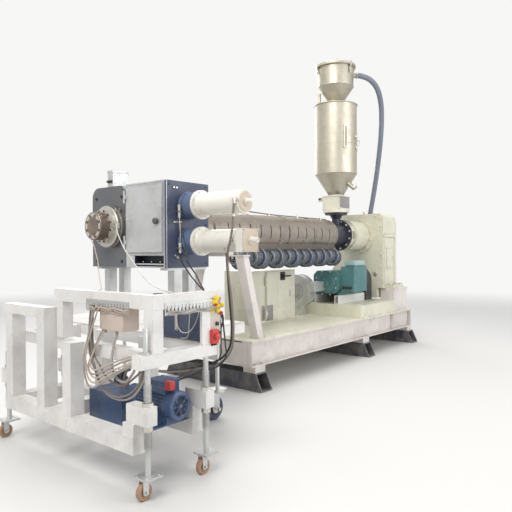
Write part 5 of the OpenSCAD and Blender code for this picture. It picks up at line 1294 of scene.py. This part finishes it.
def head_door_details():
    """A black knob, folded edges and rivets that ride on the head door."""
    face = -1.352
    door = "head_door"
    lathe_piece("head_knob", (face - 0.002, -0.636, 1.666), OUT,
                [(0, 0.0235), (0.004, 0.0255), (0.022, 0.0255), (0.028, 0.020), (0.029, 0)], 32,
                "guard_grey", "handle_black", door)
    with Piece("door_folds", "enclosure_silver", body=door) as p:
        for y0, z0, y1, z1 in ((-0.697, 1.412, -0.690, 1.978), (-0.690, 1.971, -0.231, 1.978),
                               (-0.690, 1.412, -0.231, 1.419)):
            p.box((face - 0.0015, y0, z0), (face + 0.001, y1, z1), 0.0006)
    studs("door_rivets", [(face + 0.001, y, z) for y, z in
                          ((-0.655, 1.935), (-0.60, 1.935), (-0.29, 1.935), (-0.29, 1.46), (-0.655, 1.46))],
          OUT, [(0, 0.006), (0.003, 0.0055), (0.0045, 0)], 14, "zinc", None, door)


def changer_details():
    """Cap screws on the changer's outlet face, its lifting eye, and the lid of the small box."""
    low, high = box_of("screen_changer")
    screws("changer_screws", [(low.x, y, z) for y, z in ((-0.14, 1.33), (0.235, 1.33), (-0.14, 1.90),
                                                         (0.235, 1.90), (0.235, 1.52), (0.235, 1.74))],
           OUT, 0.013, 0.6, "black_bolt", "changer_grey")
    with Piece("changer_eye", smooth=60) as p:
        p.ring((low.x + 0.30, 0.14, high.z + 0.022), Y, 0.024, 0.006, 28, 8)
        p.lathe((low.x + 0.30, 0.14, high.z - 0.001), UP, turned((0.006, 0.022), tip=0.013, lip=0.003), 18)
    low, high = Vector((-1.330, -0.016, 2.000)), Vector((-1.159, 0.060, 2.145))
    box_piece("top_box_lid", (low.x - 0.002, low.y - 0.003, high.z - 0.020),
              (high.x + 0.002, high.y + 0.003, high.z + 0.002), 0.0015, "galvanised")
    with Piece("top_box_glands", "handle_black") as p:
        for y in (0.005, 0.040):
            p.lathe((low.x + 0.001, y, 2.045), OUT, turned((0.012, 0.013), (0.024, 0.009)), 18)
        for z in (2.03, 2.10):
            p.lathe((-1.31, low.y + 0.0005, z), NEAR, dome(0.004, 0.002), 12)


OUTLET_X = -1.53
RING_X = -1.44
BAND_X = (-1.383, -1.345)


def outlet_details():
    """Bolts, heater bands and the heat-stained hub of the outlet."""
    hub = Vector((OUTLET_X, 0, AXIS_Z))
    screws("hub_screws", [hub + X * 0.004 + across(a) * 0.095 for a in angles(8, 22.5)], OUT, 0.0125, 1.1,
           "heated_steel")
    screws("ring_screws", ring_points((RING_X, 0, AXIS_Z), OUT, 0.1365, 12, 15), OUT, 0.0075, 0.9,
           "black_bolt", "barrel_steel")
    lathe_piece("hub_skin", hub + X * 0.0895, OUT,
                [(0, 0.1195), (0.002, 0.1225), (0.086, 0.1225), (0.0905, 0.1185), (0.0905, 0.112),
                 (0.0885, 0.110)], 64, "heated_steel")
    lathe_piece("hub_face", hub + X * 0.0005, OUT,
                [(0, 0.081), (0.003, 0.080), (0.004, 0.077), (0.004, 0.050), (0.002, 0.046),
                 (0.0015, 0.034)], 56, "heated_steel")
    studs("heater_bands", [(x + 0.012, 0, AXIS_Z) for x in BAND_X], OUT, collar(0.1835, 0.1875, 0.024), 72,
          "heater_band", None, MAIN, 40)
    with Piece("band_clamps") as p:
        for x in BAND_X:
            spot = Vector((x, -0.129, AXIS_Z + 0.1355))
            p.box(spot - Vector((0.010, 0.014, 0.010)), spot + Vector((0.010, 0.010, 0.012)), 0.002)
            p.lathe(spot + Vector((0, -0.004, -0.024)), UP, turned((0.05, 0.004)), 12)
        p.lathe((-1.408, -0.140, 1.632), NEAR,
                turned((0.016, 0.015), (0.044, 0.010), tip=0.006, lip=0.006), 20)
    with Piece("sensor_heads", "white_cable") as p:
        p.box((-1.422, -0.196, 1.620), (-1.394, -0.180, 1.660), 0.003)
        p.lathe((-1.478, 0.090, 1.570), -UP, turned((0.02, 0.010), tip=0.006), 14)


# Cabinet

CABINET_FACE = 0.150
DOOR_FACE = 0.130
CABINET_DOOR = "cabinet_door"


def cabinet_details():
    """Seams, louvres, boxes and the escutcheon of the disconnect."""
    escutcheon(Vector((1.398, DOOR_FACE, 1.088)))
    cabinet_seams()
    with Piece("cabinet_louvres", "cap_tan") as p:
        rows, first, pitch = 9, 1.058, 0.0125
        for i in range(rows):
            z = first + i * pitch
            p.box((0.7785, 0.180, z), (0.7815, 0.305, z + 0.006), 0.001)
    box_piece("side_socket_box", (0.722, 0.162, 0.70), (0.7805, 0.358, 1.0), 0.005, "machine_cream")
    box_piece("door_cover_plate", (0.982, 0.1465, 0.540), (1.040, 0.1505, 0.729), 0.001, "sheet_grey")
    box_piece("door_cover_plate_2", (1.066, 0.1285, 0.536), (1.191, 0.1305, 0.729), 0.0008,
              "sheet_grey", None, CABINET_DOOR)
    with Piece("door_locks", body=CABINET_DOOR) as p:
        for z in (0.60, 1.10):
            p.lathe((1.560, DOOR_FACE + 0.001, z), NEAR, turned((0.004, 0.011), tip=0.009, lip=0.001), 20)
        p.box((1.552, DOOR_FACE - 0.010, 0.81), (1.568, DOOR_FACE + 0.001, 0.90), 0.003)


def escutcheon(centre):
    """The black square plate under the disconnect's lever, riding on the door."""
    half_x, half_z, hole = 0.0525, 0.055, 0.0315
    thick, corners = 0.004, 28
    front, back = [], []
    with Piece("disconnect_plate", "handle_black", body=CABINET_DOOR) as p:
        for i in range(corners):
            a = 2 * math.pi * (i + 0.5) / corners
            c, s = math.cos(a), math.sin(a)
            reach = min(half_x / max(abs(c), 1e-6), half_z / max(abs(s), 1e-6))
            for ring, y in ((front, centre.y - thick), (back, centre.y + 0.0005)):
                ring.append([p.bm.verts.new((centre.x + r * c, y, centre.z + r * s))
                             for r in (hole, reach)])
        for i in range(corners):
            j = (i + 1) % corners
            for quad in ((front[i][0], front[i][1], front[j][1], front[j][0]),
                         (back[i][0], back[j][0], back[j][1], back[i][1]),
                         (front[i][1], back[i][1], back[j][1], front[j][1]),
                         (front[i][0], front[j][0], back[j][0], back[i][0])):
                p.bm.faces.new(quad)


def cabinet_seams():
    """Lapped panel edges and trim on the near face and the top."""
    top = box_of("control_cabinet")[1].z
    y0, y1 = CABINET_FACE - 0.002, CABINET_FACE + 0.001
    with Piece("cabinet_trim", "cabinet_cream") as p:
        for x0, z0, x1, z1 in ((0.781, 1.160, 1.046, 1.165), (0.781, 0.511, 0.786, 1.160),
                               (1.041, 0.511, 1.046, 1.160), (1.594, 0.511, 1.599, 1.163)):
            p.box((x0, y0, z0), (x1, y1, z1), 0.0008)
        p.box((0.779, CABINET_FACE - 0.004, top - 0.004), (1.701, 0.592, top + 0.001), 0.0015)
    studs("cabinet_screws", [(x, CABINET_FACE + 0.0005, z) for z in (0.56, 0.84, 1.12)
                             for x in (0.81, 1.02, 1.66)], NEAR, dome(0.006, 0.003), 14)
    with Piece("door_folds_cabinet", "cabinet_cream", body=CABINET_DOOR) as p:
        for x0, x1 in ((1.078, 1.083), (1.292, 1.296)):
            p.box((x0, DOOR_FACE - 0.0015, 0.540), (x1, DOOR_FACE + 0.001, 1.149), 0.0006)


# Cart

TOP_X = -2.21
TOP_RAIL_Z = 1.075                 # underside of the top rails
FRAME_Z = 0.820                    # top of the cart's main frame
SHELF_Z = 0.830


def cart_box_details():
    """The pinkish box with rounded corners under the left top rail, and its glands."""
    low, high = Vector((-2.2135, -1.3435, 0.9215)), Vector((-2.0865, -1.0965, 1.0745))
    box_piece("cart_box_cover", low, high, 0.012, "pink_box")
    glands = ((-2.192, -1.25), (GLAND_X, -1.132), (GLAND_X, -1.118))
    studs("cart_box_glands", [(x, y, low.z + 0.002) for x, y in glands], -UP,
          turned((0.010, 0.014), (0.022, 0.011)), 18, "cable_grey", "galvanised")
    studs("cart_box_screws", [(low.x + 0.001, y, z) for y in (low.y + 0.02, high.y - 0.02)
                              for z in (low.z + 0.02, high.z - 0.02)], OUT, dome(0.006, 0.002), 14)


def tray_cables():
    """Cables that lie along the slotted trays under the top rails."""
    with Piece("side_tray_cables", "cable_beige", "cable_grey", smooth=60) as p:
        for k, z in enumerate((1.038, 1.050, 1.062)):
            x = TOP_X - 0.010 - 0.004 * k
            route = [(x, -1.42 + 0.05 * i, z + 0.006 * math.sin(2.1 * i + k)) for i in range(9)]
            p.tube(smooth_route(route, 5), 0.0050, 10)
    with Piece("near_tray_cables", "cable_grey", smooth=60) as p:
        for k, z in enumerate((1.040, 1.056)):
            y = -1.630 - 0.003 * k
            route = [(-2.10 + 0.055 * i, y, z + 0.005 * math.sin(1.7 * i + k)) for i in range(9)]
            p.tube(smooth_route(route, 5), 0.0048, 10)


def jack_details():
    """Lock nuts and collars where the jack screws pass the blocks, and thread on the screws."""
    top, bottom, r = 0.530, 0.420, 0.0225
    with Piece("jack_nuts", smooth=30) as p:
        for x, y in JACKS:
            p.lathe((x, y, top - 0.0005), UP,
                    [(0, 0.034), (0.022, 0.034), (0.024, 0.030), (0.024, r + 0.0004)], 6)
            p.lathe((x, y, bottom + 0.0005), -UP, [(0, 0.030), (0.034, 0.030), (0.036, r + 0.0004)], 28)
    with Piece("jack_threads", "galvanised", smooth=60) as p:
        for x, y in JACKS:
            for k in range(13):
                p.ring((x, y, top + 0.030 + 0.0075 * k), UP, r, 0.0016, 28, 6)
                p.ring((x, y, bottom - 0.044 - 0.0075 * k), UP, r, 0.0016, 28, 6)
    lathe_piece("locking_rod", (-2.242, -1.592, FRAME_Z - 0.001), UP,
                turned((0.016, 0.026), (0.150, 0.015), tip=0.012, lip=0.006), 24, "galvanised")


def cart_welds():
    """Weld beads where the cart's tubes meet."""
    with Piece("cart_welds", "cart_white", smooth=60) as p:
        for x in (-2.210, -2.130):
            for y in (-1.620, -1.540):
                p.weld((x, y, TOP_RAIL_Z), (x, y, TOP_RAIL_Z - 0.001))
        for x0, x1, y0, y1 in ((-2.210, -2.130, -1.620, -1.540), (-1.810, -1.730, -1.620, -1.600)):
            for a, b in (((x0, y0), (x1, y0)), ((x0, y1), (x1, y1)),
                         ((x0, y0), (x0, y1)), ((x1, y0), (x1, y1))):
                p.weld((*a, FRAME_Z), (*b, FRAME_Z), 0.0045)
        for x, y in JACKS[:2]:
            for dx in (-0.050, 0.050):
                p.weld((x + dx, -1.550, 0.340), (x + dx, -1.450, 0.340), 0.0045)
        for x in (-2.300, -2.200, -1.830, -1.730):
            p.weld((x, -1.551, 0.420), (x, -1.551, 0.340))


# X and Z of each yellow plug, its radius and how it leans
YELLOW_PLUGS = ((-1.715, 1.080, 0.019, 0.3), (-1.680, 1.098, 0.021, -0.2), (-1.662, 1.062, 0.020, 0.5),
                (-1.648, 1.030, 0.018, -0.5), (-1.690, 1.046, 0.017, 0.1))


def connector_details():
    """Yellow plugs, a red emergency button box and their beige holder at the cart's right corner."""
    y = -1.622
    with Piece("yellow_plugs", "yellow_plastic") as p:
        for x, z, r, lean in YELLOW_PLUGS:
            axis = Vector((lean, -0.75, 0.35 * (1 - 2 * abs(lean)))).normalized()
            p.lathe((x, y + 0.030, z), axis,
                    [(0, r * 0.7), (0.010, r), (0.034, r), (0.038, r * 0.82), (0.056, r * 0.78),
                     (0.060, r * 0.5), (0.060, 0)], 22)
        p.box((-1.740, y - 0.004, 1.020), (-1.700, y + 0.030, 1.052), 0.006)
    studs("plug_rings", [(x, y - 0.004, z) for x, z in ((-1.672, 1.104), (-1.650, 1.010), (-1.700, 1.072))],
          (0.2, -0.9, 0.3), turned((0.016, 0.010), tip=0.007, lip=0.004), 16, "red_plastic")
    box_piece("plug_bracket", (-1.735, y + 0.002, 0.800), (-1.640, y + 0.022, 1.118), 0.003, "beige_box",
              "cart_white")
    with Piece("red_button_box", "red_plastic") as p:
        p.box((-1.742, y - 0.028, 0.818), (-1.684, y + 0.004, 0.912), 0.008)
        p.lathe((-1.713, y - 0.027, 0.866), NEAR,
                turned((0.010, 0.014), (0.022, 0.021), tip=0.015, lip=0.004), 26)
    with Piece("plug_glands", "handle_black") as p:
        for x, z in ((-1.640, .960), (-1.628, .980), (-1.650, .990)):
            p.lathe((x, -1.596, z + 0.018), -UP,
                    [(0, 0.008), (0.004, 0.011), (0.030, 0.011), (0.036, 0.007), (0.036, 0)], 16)
        for x, z in ((-1.676, .944), (-1.665, .884), (-1.682, .842)):
            p.box((x - 0.012, y - 0.012, z - 0.012), (x + 0.010, y + 0.004, z + 0.012), 0.003)


def shelf_details():
    """Small blocks, a shut-off valve and the feet of the head's stand on the shelf."""
    with Piece("shelf_blocks", "beige_box") as p:
        p.box((-1.700, -1.595, FRAME_Z - 0.001), (-1.668, -1.560, FRAME_Z + 0.034), 0.003)
        p.box((-1.560, -1.130, SHELF_Z), (-1.500, -1.085, SHELF_Z + 0.042), 0.004)
        p.lathe((-1.470, -1.105, SHELF_Z - 0.001), UP,
                [(0, 0.018), (0.030, 0.018), (0.034, 0.012), (0.050, 0.012), (0.050, 0)], 20)
    bolts("shelf_bolts", [(x, y, SHELF_Z) for x in (-1.60, -1.25, -0.95) for y in (-1.11, 0.41)],
          UP, 0.008)
    top = SHELF_Z + 0.008
    with Piece("stand_feet", "galvanised", smooth=30) as p:
        for x in (-1.19, -1.03):
            for y in (-0.671, 0.22):
                p.box((x - 0.065, y - 0.065, SHELF_Z - 0.0005), (x + 0.065, y + 0.065, top), 0.002)
                for dx in (-0.052, 0.052):
                    for dy in (-0.052, 0.052):
                        p.bolt((x + dx, y + dy, top), UP, 0.006, False)


def tank_details():
    """Cap, gauge and lid screws of the oil tank."""
    low, high = Vector((-1.750, -1.550, 0.830)), Vector((-1.660, -1.000, 1.065))
    lathe_piece("filler_cap", ((low.x + high.x) / 2, high.y - 0.070, high.z + 0.034), UP,
                turned((0.014, 0.039), tip=0.034, lip=0.004), 32, "handle_black")
    with Piece("tank_gauge") as p:
        p.box((low.x - 0.006, -1.330, 0.880), (low.x + 0.001, -1.300, 1.010), 0.002)
        for z in (0.890, 1.000):
            p.lathe((low.x - 0.004, -1.315, z), OUT, turned((0.006, 0.009), tip=0.006, lip=0.001), 6)
    screws("tank_screws", [(x, y, high.z) for y in (-1.545, -1.36, -1.18, -1.005)
                           for x in (low.x - 0.002, high.x + 0.002)], UP, 0.0055, 0.6)


# Pump set and casters

PUMP = Vector((-1.95, -1.57, 0.455))
PUMP_R = 0.083
PUMP_FINS = 30


def pump_details():
    """Fins, fan cowl, terminal box and fittings of the pump's motor."""
    y0, y1 = PUMP.y + 0.078, PUMP.y + 0.330
    with Piece("pump_fins", "pump_blue") as p:
        for a in angles(PUMP_FINS):
            d = upright(a)
            if d.z <= 0.80:
                at = Matrix.Translation(Vector((PUMP.x, (y0 + y1) / 2, PUMP.z)) + d * (PUMP_R + 0.004))
                p.cube(at @ turn(Y.cross(d), Y, d), (0.0035, y1 - y0, 0.017))
    lathe_piece("pump_cowl", (PUMP.x, PUMP.y + 0.080, PUMP.z), NEAR,
                [(0, PUMP_R), (0, 0.0915), (0.066, 0.0915), (0.078, 0.086), (0.083, 0.072),
                 (0.083, 0.066), (0.080, 0.064)], 56, "pump_blue")
    face = Vector((PUMP.x, PUMP.y - 0.0015, PUMP.z))
    with Piece("pump_grille", "pump_blue", smooth=60) as p:
        for r in (0.060, 0.048, 0.036, 0.024):
            p.ring(face, NEAR, r, 0.0022, 40, 6)
        for a in (0, 45, 90, 135):
            d = upright(math.radians(a))
            p.tube([face + d * t for t in (-0.064, 0, 0.064)], 0.0022, 6)
        p.lathe(face, NEAR, [(0, 0.013), (0.003, 0.012), (0.004, 0)], 20)
    pump_fittings()


def pump_fittings():
    """Lid and red patch of the terminal box, the end shields and the hose nipples."""
    low, high = Vector((-2.010, -1.490, 0.540)), Vector((-1.890, -1.330, 0.598))
    with Piece("pump_lid", "pump_blue") as p:
        p.box((low.x - 0.006, low.y - 0.006, high.z - 0.012),
              (high.x + 0.006, high.y + 0.006, high.z + 0.006), 0.004)
        p.box((low.x - 0.002, low.y + 0.006, low.z + 0.020),
              (low.x + 0.001, high.y - 0.03, high.z - 0.014), 0.001)
        p.lathe((PUMP.x, PUMP.y + 0.330, PUMP.z), Y,
                [(0, 0.086), (0.016, 0.086), (0.020, 0.080), (0.020, 0.071)], 48)
    box_piece("pump_patch", (low.x - 0.0045, low.y - 0.052, 0.556), (low.x + 0.040, low.y + 0.002, 0.610),
              0.004, "red_plastic")
    box_piece("pump_shield", (low.x + 0.002, low.y - 0.010, 0.566), (low.x + 0.058, low.y + 0.002, 0.592),
              0.002, "beige_box")
    with Piece("pump_nipples", smooth=30) as p:
        for y in (-0.900, -0.935):
            p.lathe((-1.900, y, 0.454), UP, turned((0.012, 0.017), (0.030, 0.013)), 6)
        for x in (-2.03, -1.87):
            for y in (-1.08, -0.75):
                p.screw((x, y, 0.455), UP, 0.008, 0.7)
        for x in (-1.99, -1.91):
            for y in (-1.47, -1.30):
                p.bolt((x, y, 0.340), UP, 0.007, False)


# Place of each near caster's kingpin, and the finish of its hub
CASTERS = ((1, -2.25, -1.62, "zinc"), (2, -1.78, -1.62, "zinc"), (3, -2.25, 0.045, "zinc"),
           (4, -0.93, -0.91, "wheel_navy"))


def caster_details():
    """Axle nuts and kingpin rings on the forks, and hub rings on the wheels."""
    for number, x, y, hub in CASTERS:
        fork, wheel = f"caster_fork_{number}", f"caster_wheel_{number}"
        wheel_low, wheel_high = box_of(wheel)
        fork_low, fork_high = box_of(fork)
        c = (wheel_low + wheel_high) / 2
        d = wheel_high.z - wheel_low.z
        half = (wheel_high.y - wheel_low.y) / 2
        with Piece(f"caster_nuts_{number}", body=fork, smooth=30) as p:
            for side, face in zip(SIDES, (fork_low.y, fork_high.y)):
                p.bolt((c.x, face, c.z), (0, side, 0), d * 0.085, False)
            p.lathe((x, y, fork_high.z - 0.0005), -UP,
                    [(-0.001, d * 0.325), (d * 0.06, d * 0.325), (d * 0.07, d * 0.30)], 32)
        with Piece(f"caster_hub_{number}", hub, "galvanised", wheel, 60) as p:
            for side in SIDES:
                p.ring((c.x, c.y + side * (half * 0.60), c.z), Y, d * 0.30, d * 0.012, 40, 6)
                p.ring((c.x, c.y + side * half * 0.99, c.z), Y, d * 0.145, d * 0.010, 28, 6)


def foot_plate_details():
    """Four nuts on the plate over each caster."""
    bolts("caster_plate_nuts", [(x + dx, y + dy, 0.1305) for x, y in JACKS for dx in (-0.044, 0.044)
                                for dy in (-0.044, 0.044)], UP, 0.0065, washer=False)


# Run

look()
set_stage()
dress_nodes()
for make in (
        material_hose, pressure_hoses, cart_cables, head_cables, plug_cables,
        base_details, platform_details, gearbox_details, gearbox_rear_details, motor_details,
        cooler_details, blower_details, barrel_support_details,
        shroud_details, hopper_rings, sight_strip, clean_out_door, lid_clamps, gate_details,
        cylinder_details, plate_details, enclosure_details, changer_details, outlet_details,
        cabinet_details, cart_box_details, tray_cables, jack_details, cart_welds,
        connector_details, shelf_details, tank_details,
        pump_details, caster_details, foot_plate_details):
    make()

bpy.context.scene.view_settings.view_transform = "Standard"
